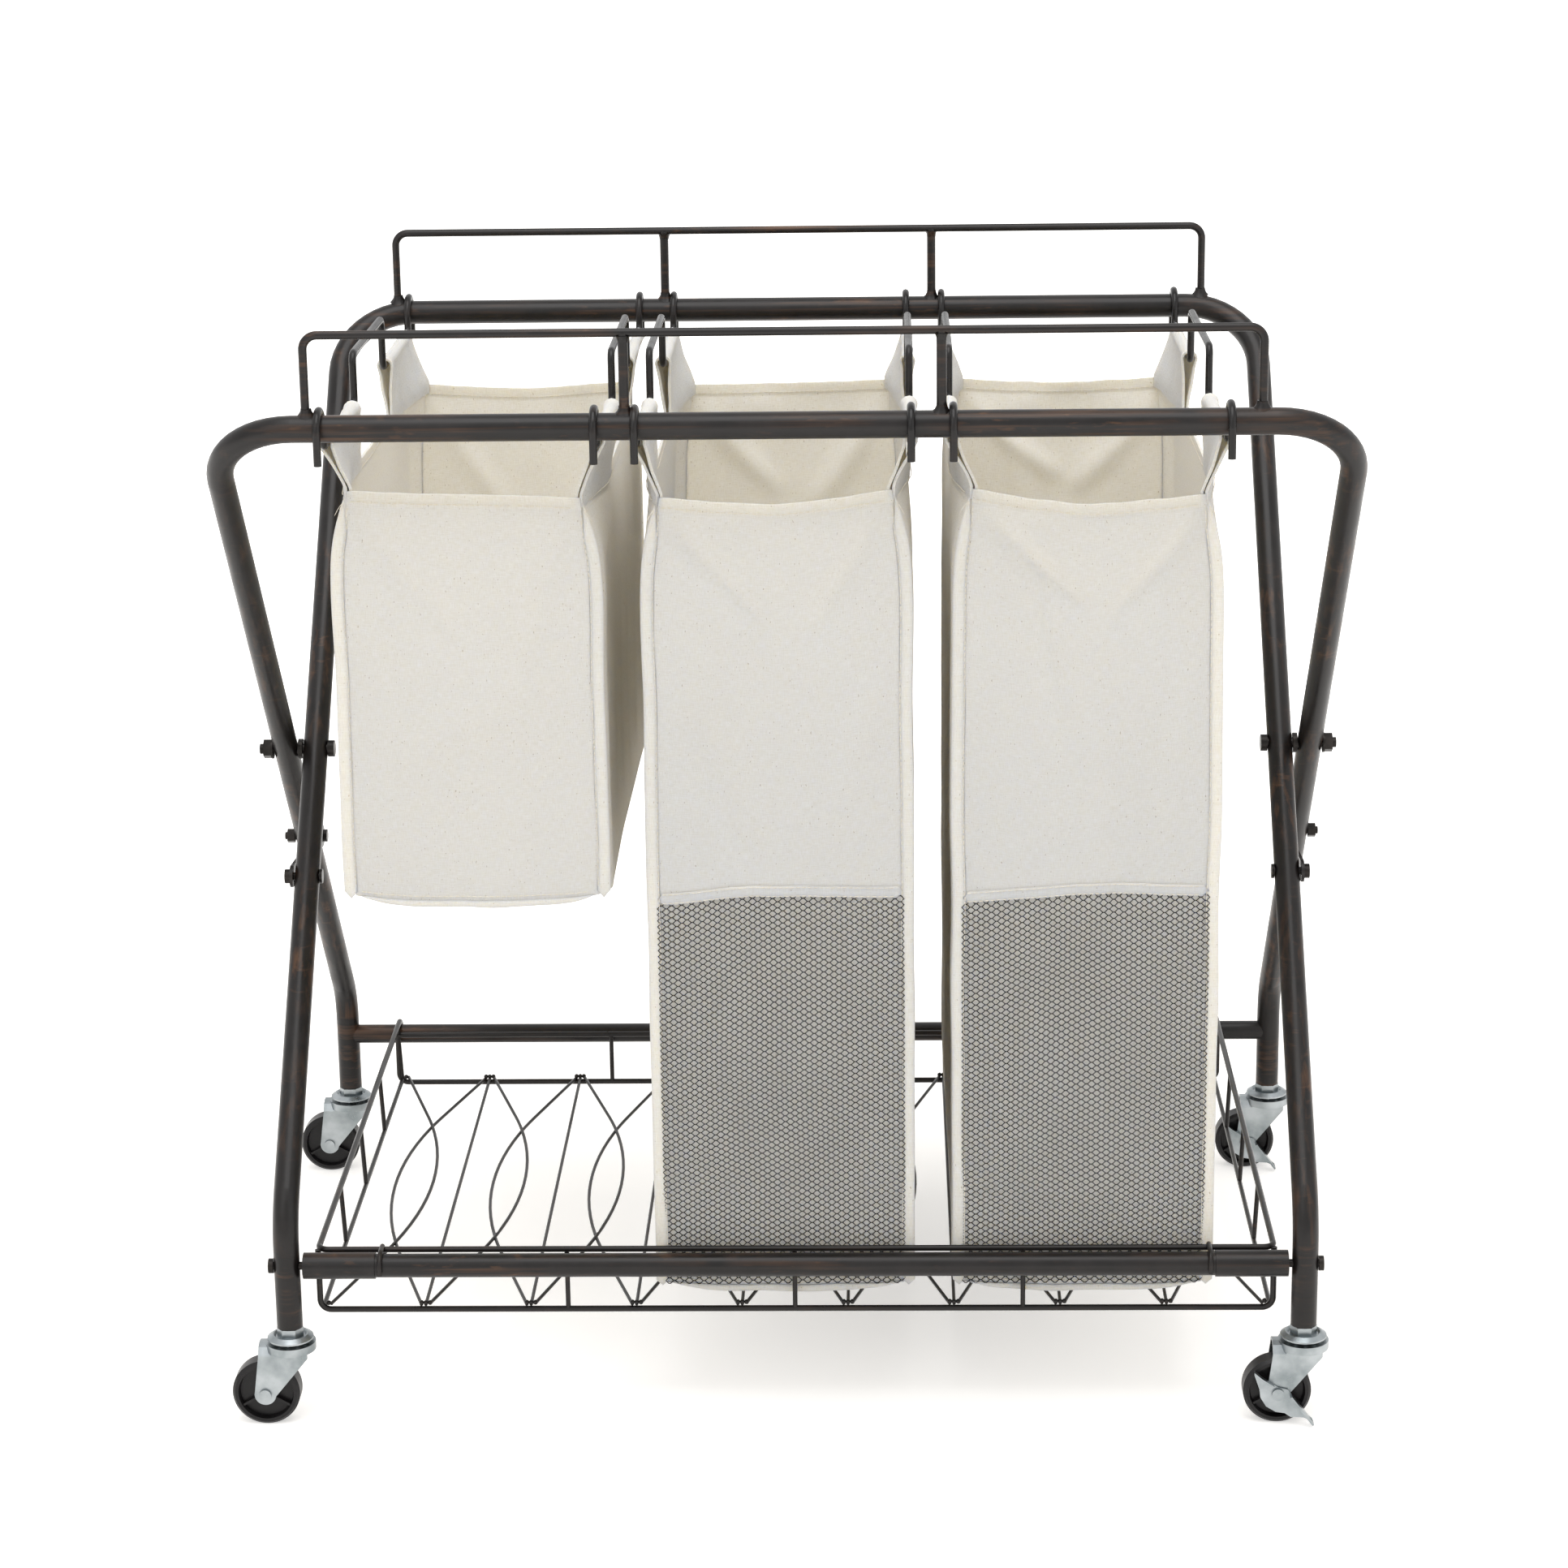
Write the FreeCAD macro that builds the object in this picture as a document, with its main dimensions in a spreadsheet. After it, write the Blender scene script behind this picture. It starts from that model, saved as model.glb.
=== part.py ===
import FreeCAD, Part

# Three-bag laundry sorter on casters: a crossed tube frame with welded guard rails, a wire shelf,
# three cloth bags on wire hangers and four swivel casters, two of them with brakes.
# Frame: origin on the floor under the middle of the crossed frame, X along the rails (+X right),
# Y from front to rear, +Z up. Millimetres and degrees.

import math
import os
import re

import Sketcher

from FreeCAD import Placement, Rotation, Vector

X_AXIS = Vector(1, 0, 0)
Y_AXIS = Vector(0, 1, 0)
Z_AXIS = Vector(0, 0, 1)
SIDES = {"left": -1, "right": 1}
FULL_TURN = 360
HEXAGON = 6
NEAR = 1e-6
BOW_LIFT = 0.35           # how far a bowed floor wire stands over the next, as a share of its radius
HOOK_FOOT_BEND = 1.1      # a shelf hook's first bend, in wire radii
RING_SHARE = 0.999        # keeps the two bends of a hook's ring from meeting in a point
EYE_SHARE = 0.97          # where a fork arm's edges run into the round of its eye
# Outlines of the stamped brake levers, as shares of their reach and width.
LEVER_OUTLINE = (
    (-0.665, 0.69), (-0.655, 0.56), (-0.51, 0.13), (-0.48, -0.105), (-0.32, -0.37), (-0.053, -0.534),
    (0.19, -0.57), (0.37, -0.69), (0.72, -0.706), (1, -0.84), (0.96, -0.74), (0.69, -0.508),
    (0.534, -0.267), (0.372, 0), (0.267, 0.132), (0, 0.2), (-0.214, 0.346), (-0.45, 0.5),
)
PEDAL_FLANGE = ((0.372, 0), (1, -0.84), (0.952, -0.87), (0.326, -0.032))
TAB_FLANGE = ((-0.665, 0.69), (-0.45, 0.5), (-0.214, 0.346), (-0.107, 0.273), (-0.14, 0.23),
              (-0.245, 0.3), (-0.485, 0.455), (-0.66, 0.62))
RIB_START = -90             # degrees; the first rib of a wheel points up

# ---------------------------------------------------------------- driving dimensions

SIZES = {
    # bent tube frames
    "tube_od": 19.0,
    "tube_wall": 1.2,
    "outer_half": 396.5,
    "leg_gap": 4.0,
    "rail_depth": 264.0,
    "rail_height": 747.5,
    "pivot_height": 448.0,
    "foot_depth": 256.0,
    "foot_height": 75.0,
    "rail_bend": 57.0,
    "knee_bend": 60.0,
    # crossbars between the feet
    "bar_height": 123.0,
    "front_bar_od": 17.5,
    "rear_bar_od": 16.0,
    "bar_wall": 1.2,
    "bar_plug": 18.0,
    "sleeve_length": 53.0,
    "sleeve_wall": 0.95,
    "bar_end_gap": 3.0,
    "screw_od": 6.0,
    "screw_depth": 14.0,
    "screw_head": 11.0,
    "screw_head_rise": 3.6,
    # guard rails above the two top rails
    "guard_rod": 6.0,
    "guard_post": 7.0,
    "guard_half": 329.0,
    "guard_post_half": 109.0,
    "guard_rise": 65.0,
    "guard_bend": 10.0,
    # bolts at the crossing of the legs
    "pivot_od": 8.0,
    "pivot_head": 13.0,
    "pivot_head_rise": 5.0,
    "pivot_washer": 15.5,
    "pivot_nut": 13.0,
    "nut_height": 7.5,
    "nut_flange": 1.5,
    "thread_over": 3.0,
    # lock bars in the gap between the legs
    "lock_depth": 84.0,
    "stud_depth": 72.0,
    "lock_thick": 2.4,
    "lock_width": 17.0,
    "lock_bolt": 6.0,
    "lock_head": 10.0,
    "lock_head_rise": 3.2,
    "lock_thread_over": 2.0,
    "lock_nut": 10.0,
    "lock_nut_height": 6.0,
    "stud_neck": 6.0,
    "stud_head": 11.0,
    "stud_head_rise": 4.0,
    # wire shelf
    "shelf_half": 352.0,
    "shelf_depth": 243.5,
    "shelf_height": 83.0,
    "shelf_rod": 4.5,
    "shelf_bend": 8.0,
    "shelf_front_top": 130.5,
    "shelf_hook_x": 304.0,
    "shelf_post": 3.6,
    "shelf_post_x": 168.0,
    "shelf_post_y": 120.0,
    "shelf_back_drop": 7.5,
    "shelf_bays": 9.0,
    "floor_rod": 2.6,
    "floor_apex": 70.0,
    "floor_bend": 530.0,
    "floor_spread": 3.2,
    # hangers
    "hanger_rod": 5.5,
    "hanger_half": 95.0,
    "hanger_drop": 15.5,
    "hook_inner": 11.5,
    "hook_tip": 23.5,
    "handle_half": 84.0,
    "handle_rise": 38.0,
    "hanger_bend": 7.0,
    # bags
    "bag_left_x": -225.0,
    "bag_middle_x": -7.0,
    "bag_right_x": 212.0,
    "bag_depth": 239.5,
    "cloth": 2.0,
    "bag_mouth": 692.0,
    "short_bottom": 397.0,
    "tall_bottom": 98.0,
    "casing_wall": 2.0,
    "mesh_top": 400.0,
    "mesh_margin": 9.0,
    "mesh_thick": 0.8,
    # casters
    "wheel_od": 50.0,
    "wheel_width": 17.0,
    "hub_width": 18.6,
    "hub_od": 17.0,
    "rim_inner": 39.0,
    "wheel_dish": 5.0,
    "rib_count": 3.0,
    "rib_thick": 1.6,
    "rib_bite": 0.5,
    "rib_root": 1.5,
    "trail": 19.0,
    "fork_disc": 37.0,
    "fork_plate": 2.0,
    "fork_lip": 6.0,
    "lip_wall": 1.2,
    "arm_root": 13.3,
    "arm_bite": 0.5,
    "arm_flare": 4.0,
    "crown_over": 4.0,
    "crown_drop": 7.5,
    "crown_leg": 2.5,
    "crown_half": 8.0,
    "crown_slope": 1.8,
    "crown_ridge": 3.0,
    "fork_top": 63.5,
    "fork_eye": 16.0,
    "eye_turn": 1.5,
    "axle_od": 6.0,
    "rivet_head": 9.0,
    "rivet_rise": 1.8,
    "stem_od": 8.0,
    "stem_reach": 28.0,
    "stem_foot_od": 12.8,
    "ball_od": 2.4,
    "ball_ring": 26.0,
    "ball_count": 12.0,
    "race_disc": 34.0,
    "race_thick": 1.9,
    "race_edge": 1.2,
    "race_rise": 3.6,
    "crest_od": 26.6,
    "crest_width": 1.1,
    "race_floor": 21.6,
    "hex_flats": 17.0,
    "plug_length": 28.0,
    "brake_plate": 1.5,
    "pedal_reach": 26.6,
    "pedal_flange": 7.0,
    "tab_flange": 5.0,
    # clearances
    "running": 0.05,
    "seat": 0.3,
}

# Places that follow from the driving dimensions.
PLACES = {
    "tube_r": "tube_od / 2",
    "inner_half": "outer_half - tube_od - leg_gap",
    "leg_rise": "(rail_height - pivot_height) / rail_depth",
    "knee_height": "pivot_height - foot_depth * leg_rise",
    "outer_face": "outer_half + tube_r",
    "outer_inside": "outer_half - tube_r",
    "inner_outside": "inner_half + tube_r",
    "inner_face": "inner_half - tube_r",
    "gap_middle": "inner_outside + leg_gap / 2",
    "bar_end": "inner_face - bar_end_gap",
    "lock_height": "pivot_height - lock_depth * leg_rise",
    "stud_height": "pivot_height - stud_depth * leg_rise",
    "lock_length": "sqrt((lock_depth + stud_depth)^2 + (stud_height - lock_height)^2)",
    "lock_tilt": "atan((stud_height - lock_height) / (lock_depth + stud_depth))",
    "shelf_front_ring": "front_bar_od / 2 + seat + shelf_post / 2",
    "shelf_rear_ring": "rear_bar_od / 2 + seat + shelf_rod / 2",
    "shelf_corner": "shelf_bend * (1 - cos(45))",
    "shelf_rear_top": "bar_height + shelf_rear_ring",
    "shelf_back_top": "shelf_rear_top - shelf_back_drop",
    "floor_height": "shelf_height + shelf_rod / 2 + floor_rod / 2 + running",
    "shelf_bay": "2 * shelf_half / shelf_bays",
    "hanger_height": "rail_height - hanger_drop",
    "hook_ring": "hook_inner + hanger_rod / 2",
    "hook_height": "rail_height + tube_r + seat - hook_inner",
    "handle_height": "hanger_height + handle_rise",
    "bag_half": "hanger_half + cloth / 2",
    "casing_bore": "hanger_rod / 2 + seat",
    "casing_r": "casing_bore + casing_wall",
    "casing_end": "handle_half + hanger_rod / 2 + hanger_bend",
    "axle_height": "wheel_od / 2",
    "arm_inside": "hub_width / 2 + seat",
    "arm_outside": "arm_inside + fork_plate",
    "race_height": "fork_top + ball_od + 2 * running",
    "hex_height": "race_height + race_thick",
    "guard_height": "rail_height + guard_rise",
}

doc = FreeCAD.newDocument("laundry_sorter")
sizes = doc.addObject("Spreadsheet::Sheet", "sizes")
places = doc.addObject("Spreadsheet::Sheet", "places")


def linked(text):
    """An expression with each alias written as a reference to its sheet."""
    def refer(match):
        word = match.group(0)
        if word in SIZES:
            return f"sizes.{word}"
        return f"places.{word}" if word in PLACES else word
    return re.sub(r"[a-z_][a-z_0-9]*", refer, text)


def fill_sheets():
    for row, (alias, number) in enumerate(SIZES.items(), start=1):
        sizes.set(f"A{row}", alias)
        sizes.set(f"B{row}", str(number))
        sizes.setAlias(f"B{row}", alias)
    doc.recompute()
    for row, (alias, formula) in enumerate(PLACES.items(), start=1):
        places.set(f"A{row}", alias)
        places.set(f"B{row}", "=" + linked(formula))
        places.setAlias(f"B{row}", alias)
    doc.recompute()


def value(text):
    """The number that an expression on the sheets gives."""
    result = sizes.evalExpression(linked(text))
    return getattr(result, "Value", result)


def point(across, depth, up):
    return Vector(value(across), value(depth), value(up))


# ---------------------------------------------------------------- document helpers

TURNS = {
    "x": Rotation(Y_AXIS, 90),
    "y": Rotation(X_AXIS, -90),
    "z": Rotation(),
}
NODES = []


def bind(thing, **formulas):
    for name, text in formulas.items():
        thing.setExpression(name, linked(text))
    return thing


def locate(thing, across="0", depth="0", up="0", turn=None):
    """Bind an object's place to the sheets."""
    thing.Placement = Placement(Vector(), turn or Rotation())
    for name, text in zip("xyz", (across, depth, up)):
        thing.setExpression(f"Placement.Base.{name}", linked(text))
    return thing


def free_name(name):
    return name if not doc.getObject(name) else doc.getUniqueObjectName(name)


def cylinder(name, radius, length, across="0", depth="0", up="0", along="z"):
    """A cylinder from the given point towards the positive end of its axis."""
    rod = doc.addObject("Part::Cylinder", free_name(name))
    bind(rod, Radius=radius, Height=length)
    return locate(rod, across, depth, up, TURNS[along])


def crosswise(name, radius, near, far, side, depth="0", up="0"):
    """A cylinder along X between two distances from the middle plane, on one side of it."""
    low = near if side > 0 else f"0 - ({far})"
    return cylinder(name, radius, f"({far}) - ({near})", low, depth, up, "x")


def box(name, x_low, x_high, y_low, y_high, z_low, z_high):
    block = doc.addObject("Part::Box", free_name(name))
    bind(block, Length=f"({x_high}) - ({x_low})", Width=f"({y_high}) - ({y_low})",
         Height=f"({z_high}) - ({z_low})")
    return locate(block, x_low, y_low, z_low)


def ball(name, radius, across, depth, up):
    sphere = bind(doc.addObject("Part::Sphere", free_name(name)), Radius=radius)
    return locate(sphere, across, depth, up)


def prism(name, flats, height, across, depth, up, along="z"):
    """A hexagonal prism of the given width across flats."""
    body = doc.addObject("Part::Prism", free_name(name))
    body.Polygon = HEXAGON
    bind(body, Circumradius=f"({flats}) / sqrt(3)", Height=height)
    return locate(body, across, depth, up, TURNS[along])


def fuse(name, things):
    whole = doc.addObject("Part::MultiFuse", free_name(name))
    whole.Shapes = things
    return whole


def cut(name, base, tools):
    remainder = doc.addObject("Part::Cut", free_name(name))
    remainder.Base = base
    remainder.Tool = tools[0] if len(tools) == 1 else fuse(name + "_cuts", tools)
    return remainder


def group(name, things):
    """Identical pieces that stay separate solids of one node."""
    several = doc.addObject("Part::Compound", free_name(name))
    several.Links = things
    return several


def node(thing, label):
    thing.Label = label
    NODES.append(thing)
    return thing


# ---------------------------------------------------------------- bent rods and tubes

def bent_path(points, radii):
    """Straight runs joined by tangent arcs of the given radii at the inner points."""
    edges = []
    start = points[0]
    for before, corner, after, radius in zip(points, points[1:], points[2:], radii):
        back = (before - corner).normalize()
        ahead = (after - corner).normalize()
        half_angle = back.getAngle(ahead) / 2
        reach = radius / math.tan(half_angle)
        bisector = (back + ahead).normalize()
        centre = corner + bisector * (radius / math.sin(half_angle))
        first = corner + back * reach
        last = corner + ahead * reach
        if start.distanceToPoint(first) > NEAR:
            edges.append(Part.LineSegment(start, first).toShape())
        edges.append(Part.Arc(first, centre - bisector * radius, last).toShape())
        start = last
    edges.append(Part.LineSegment(start, points[-1]).toShape())
    return Part.Wire(edges)


def swept(path, radius):
    """A round rod along a path."""
    first = path.OrderedEdges[0]
    start = first.valueAt(first.FirstParameter)
    along = first.tangentAt(first.FirstParameter)
    section = Part.Wire(Part.makeCircle(radius, start, along))
    return path.makePipeShell([section], True, False)


def rod_feature(name, path, radius):
    rod = doc.addObject("Part::Feature", free_name(name))
    rod.Shape = swept(path, radius)
    rod.Placement = Placement()
    return rod


def straight(name, start, end, radius):
    return rod_feature(name, Part.Wire(Part.LineSegment(start, end).toShape()), radius)


# ---------------------------------------------------------------- sketched bodies

def sketched_body(name, plane, corners):
    """A body with one closed outline whose corners are held at expressions on an origin plane."""
    body = doc.addObject("PartDesign::Body", free_name(name))
    sketch = body.newObject("Sketcher::SketchObject", body.Name + "_outline")
    roles = {feature.Role: feature for feature in body.Origin.OriginFeatures}
    sketch.AttachmentSupport = (roles[plane], "")
    sketch.MapMode = "FlatFace"
    spots = [Vector(value(across), value(up), 0) for across, up in corners]
    for number, spot in enumerate(spots):
        sketch.addGeometry(Part.LineSegment(spot, spots[(number + 1) % len(spots)]))
    for number, (across, up) in enumerate(corners):
        following = (number + 1) % len(corners)
        sketch.addConstraint(Sketcher.Constraint("Coincident", number, 2, following, 1))
        for kind, text, axis in (("DistanceX", across, -2), ("DistanceY", up, -1)):
            if text == "0":
                sketch.addConstraint(Sketcher.Constraint("PointOnObject", number, 1, axis))
                continue
            held = sketch.addConstraint(Sketcher.Constraint(kind, -1, 1, number, 1, value(text)))
            sketch.setExpression(f"Constraints[{held}]", linked(text))
    return body, sketch


def padded(name, plane, corners, thickness):
    """A flat plate, half its thickness to each side of its sketch plane."""
    body, sketch = sketched_body(name, plane, corners)
    pad = body.newObject("PartDesign::Pad", body.Name + "_pad")
    pad.Profile = sketch
    pad.Midplane = True
    bind(pad, Length=thickness)
    return body


def revolved(name, corners):
    """A turned piece about its own Z axis, from a half section in the XZ plane."""
    body, sketch = sketched_body(name, "XZ_Plane", corners)
    turned = body.newObject("PartDesign::Revolution", body.Name + "_turned")
    turned.Profile = sketch
    turned.ReferenceAxis = (sketch, ["V_Axis"])
    turned.Angle = FULL_TURN
    return body


# ---------------------------------------------------------------- frame

def frame_path(half, front):
    """Foot, knee, top rail, knee and foot of one bent frame; front is the side of its rail."""
    foot = f"{front} * foot_depth"
    rail = f"0 - {front} * rail_depth"
    points = []
    for side in (-1, 1):
        leg = [
            point(f"{side} * {half}", foot, "foot_height"),
            point(f"{side} * {half}", foot, "knee_height"),
            point(f"{side} * {half}", rail, "rail_height"),
        ]
        points += leg if side < 0 else leg[::-1]
    bends = [value(size) for size in ("knee_bend", "rail_bend", "rail_bend", "knee_bend")]
    return bent_path(points, bends)


def leg_bore(name, radius, depth, up):
    """A cutter that drills both legs of a frame along X."""
    return cylinder(name, radius, "2 * outer_half + 4 * tube_od", "0 - outer_half - 2 * tube_od",
                    depth, up, "x")


def frame_tube(label, half, front, bores):
    path = frame_path(half, front)
    skin = rod_feature(label + "_skin", path, value("tube_r"))
    core = rod_feature(label + "_core", path, value("tube_r - tube_wall"))
    node(cut(label, skin, [core] + bores), label)


def frame_tubes():
    frame_tube("outer_frame_tube", "outer_half", 1, [
        leg_bore("outer_pivot_bore", "pivot_od / 2 + running", "0", "pivot_height"),
        leg_bore("outer_lock_bore", "lock_bolt / 2 + running", "lock_depth", "lock_height"),
    ])
    frame_tube("inner_frame_tube", "inner_half", -1, [
        leg_bore("inner_pivot_bore", "pivot_od / 2 + running", "0", "pivot_height"),
        leg_bore("inner_stud_bore", "stud_neck / 2 + running", "0 - stud_depth", "stud_height"),
        leg_bore("inner_screw_bore", "screw_od / 2 + running", "0 - foot_depth", "bar_height"),
    ])
    plugs = []
    for half, front in (("outer_half", 1), ("inner_half", -1)):
        for side in SIDES.values():
            spot = (f"{side} * {half}", f"{front} * foot_depth", "foot_height")
            plug = cylinder("plug", "tube_r - tube_wall - running", "plug_length", *spot)
            bore = cylinder("plug_bore", "stem_od / 2 + running", "plug_length", *spot)
            plugs.append(cut("leg_plug", plug, [bore]))
    node(group("leg_end_plugs", plugs), "leg_end_plugs")


def crossbars():
    full = "2 * outer_half"
    rear = cylinder("rear_bar", "rear_bar_od / 2", full, "0 - outer_half", "foot_depth",
                    "bar_height", "x")
    hollow = cylinder("rear_bar_core", "rear_bar_od / 2 - bar_wall", full, "0 - outer_half",
                      "foot_depth", "bar_height", "x")
    copes = [cylinder("cope", "tube_r", "foot_height", f"{side} * outer_half", "foot_depth",
                      "bar_height - foot_height / 2") for side in SIDES.values()]
    node(cut("rear_crossbar", rear, [hollow] + copes), "rear_crossbar")

    at_front = ("0 - foot_depth", "bar_height", "x")
    front = cylinder("front_bar", "front_bar_od / 2", "2 * bar_end", "0 - bar_end", *at_front)
    tools = [cylinder("front_bar_core", "front_bar_od / 2 - bar_wall", "2 * (bar_end - bar_plug)",
                      "bar_plug - bar_end", *at_front)]
    for side in SIDES.values():
        tools.append(crosswise("front_bar_bore", "screw_od / 2 + running",
                               "bar_end - screw_depth - seat", "bar_end", side, *at_front[:2]))
    node(cut("front_crossbar", front, tools), "front_crossbar")

    screws = []
    for name, side in SIDES.items():
        skin = crosswise("sleeve_skin", "front_bar_od / 2 + running + sleeve_wall",
                         "bar_end - sleeve_length", "bar_end", side, *at_front[:2])
        core = crosswise("sleeve_core", "front_bar_od / 2 + running",
                         "bar_end - sleeve_length", "bar_end", side, *at_front[:2])
        label = "front_crossbar_sleeve_" + name
        node(cut(label, skin, [core]), label)
        shank = crosswise("screw_shank", "screw_od / 2", "bar_end - screw_depth",
                          "inner_outside + seat", side, *at_front[:2])
        head = crosswise("screw_head", "screw_head / 2", "inner_outside + seat",
                         "inner_outside + seat + screw_head_rise", side, *at_front[:2])
        screws.append(fuse("crossbar_screw", [shank, head]))
    node(group("crossbar_screws", screws), "crossbar_screws")


def guard_rails():
    for name, front in (("front", -1), ("rear", 1)):
        depth = f"{front} * rail_depth"
        bow = bent_path([
            point("0 - guard_half", depth, "rail_height"),
            point("0 - guard_half", depth, "guard_height"),
            point("guard_half", depth, "guard_height"),
            point("guard_half", depth, "rail_height"),
        ], [value("guard_bend")] * 2)
        rods = [rod_feature("guard_bow", bow, value("guard_rod / 2"))]
        for side in SIDES.values():
            rods.append(cylinder("guard_post_rod", "guard_post / 2", "guard_rise",
                                 f"{side} * guard_post_half", depth, "rail_height"))
        rail = cylinder("guard_cope", "tube_r", "2 * outer_half", "0 - outer_half", depth,
                        "rail_height", "x")
        label = name + "_guard_rail"
        node(cut(label, fuse(label + "_rods", rods), [rail]), label)


def pivots():
    bolts, washers, nuts = [], [], []
    nut_start = "outer_face + seat"
    for side in SIDES.values():
        spot = (side, "0", "pivot_height")
        shank = crosswise("pivot_shank", "pivot_od / 2", "inner_face - seat",
                          f"{nut_start} + nut_height + thread_over", *spot)
        head = crosswise("pivot_head_disc", "pivot_head / 2", "inner_face - seat - pivot_head_rise",
                         "inner_face - seat", *spot)
        bolts.append(fuse("pivot_bolt", [shank, head]))
        disc = crosswise("washer_disc", "pivot_washer / 2", "inner_outside + seat",
                         "outer_inside - seat", *spot)
        hole = crosswise("washer_hole", "pivot_od / 2 + running", "inner_outside",
                         "outer_inside", *spot)
        washers.append(cut("pivot_washer_ring", disc, [hole]))
        low = nut_start if side > 0 else f"0 - ({nut_start} + nut_height)"
        flange = crosswise("nut_flange", "pivot_washer / 2", nut_start, f"{nut_start} + nut_flange",
                           *spot)
        hexagon = prism("nut_hex", "pivot_nut", "nut_height", low, "0", "pivot_height", "x")
        bore = crosswise("nut_bore", "pivot_od / 2 + running", nut_start,
                         f"{nut_start} + nut_height", *spot)
        nuts.append(cut("pivot_nut_body", fuse("pivot_nut_solid", [flange, hexagon]), [bore]))
    node(group("pivot_bolts", bolts), "pivot_bolts")
    node(group("pivot_washers", washers), "pivot_washers")
    node(group("pivot_nuts", nuts), "pivot_nuts")


def lock_bars():
    """Flat bars that hold the legs apart: bolted to the outer legs, hooked on inner-leg studs."""
    for name, side in SIDES.items():
        label = "lock_bar_" + name
        half = "lock_width / 2"
        thick = "lock_thick"
        base = "0 - lock_thick / 2"
        bar = fuse(label + "_blank", [
            box("lock_strip", base, "lock_thick / 2", "0 - lock_length", "0",
                f"0 - {half}", half),
            cylinder("lock_round", half, thick, base, "0", "0", "x"),
            cylinder("hook_round", half, thick, base, "0 - lock_length", "0", "x"),
        ])
        slot = "stud_neck / 2 + seat"
        tools = [
            cylinder("lock_hole", "lock_bolt / 2 + running", thick, base, "0", "0", "x"),
            cylinder("notch_round", slot, thick, base, "0 - lock_length", "0", "x"),
            box("notch_slot", base, "lock_thick / 2", f"0 - lock_length - ({slot})",
                f"{slot} - lock_length", "0 - lock_width", "0"),
        ]
        bar = node(cut(label, bar, tools), label)
        locate(bar, f"{side} * gap_middle", "lock_depth", "lock_height",
               Rotation(X_AXIS, -value("lock_tilt")))
        bar.setExpression("Placement.Rotation.Angle", linked("-1 * lock_tilt"))


def lock_fasteners():
    bolts, nuts, studs = [], [], []
    bar_inside = "gap_middle - lock_thick / 2 - seat"
    bar_outside = "gap_middle + lock_thick / 2 + seat"
    nut_start = "outer_face + seat"
    for side in SIDES.values():
        spot = (side, "lock_depth", "lock_height")
        bolts.append(fuse("lock_bolt_solid", [
            crosswise("lock_shank", "lock_bolt / 2", bar_inside,
                      f"{nut_start} + lock_nut_height + lock_thread_over", *spot),
            crosswise("lock_head_disc", "lock_head / 2", f"{bar_inside} - lock_head_rise",
                      bar_inside, *spot),
        ]))
        low = nut_start if side > 0 else f"0 - ({nut_start} + lock_nut_height)"
        hexagon = prism("lock_nut_hex", "lock_nut", "lock_nut_height", low, *spot[1:], "x")
        bore = crosswise("lock_nut_bore", "lock_bolt / 2 + running", nut_start,
                         f"{nut_start} + lock_nut_height", *spot)
        nuts.append(cut("lock_nut_body", hexagon, [bore]))
        spot = (side, "0 - stud_depth", "stud_height")
        studs.append(fuse("lock_stud", [
            crosswise("stud_shank", "stud_neck / 2", "inner_face", bar_outside, *spot),
            crosswise("stud_head_disc", "stud_head / 2", bar_outside,
                      f"{bar_outside} + stud_head_rise", *spot),
            crosswise("stud_tail", "stud_head / 2", "inner_face - seat - 2", "inner_face - seat",
                      *spot),
            crosswise("stud_neck_end", "stud_neck / 2", "inner_face - seat", "inner_face", *spot),
        ]))
    node(group("lock_bar_bolts", bolts), "lock_bar_bolts")
    node(group("lock_bar_nuts", nuts), "lock_bar_nuts")
    node(group("lock_bar_studs", studs), "lock_bar_studs")


# ---------------------------------------------------------------- wire shelf

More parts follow.
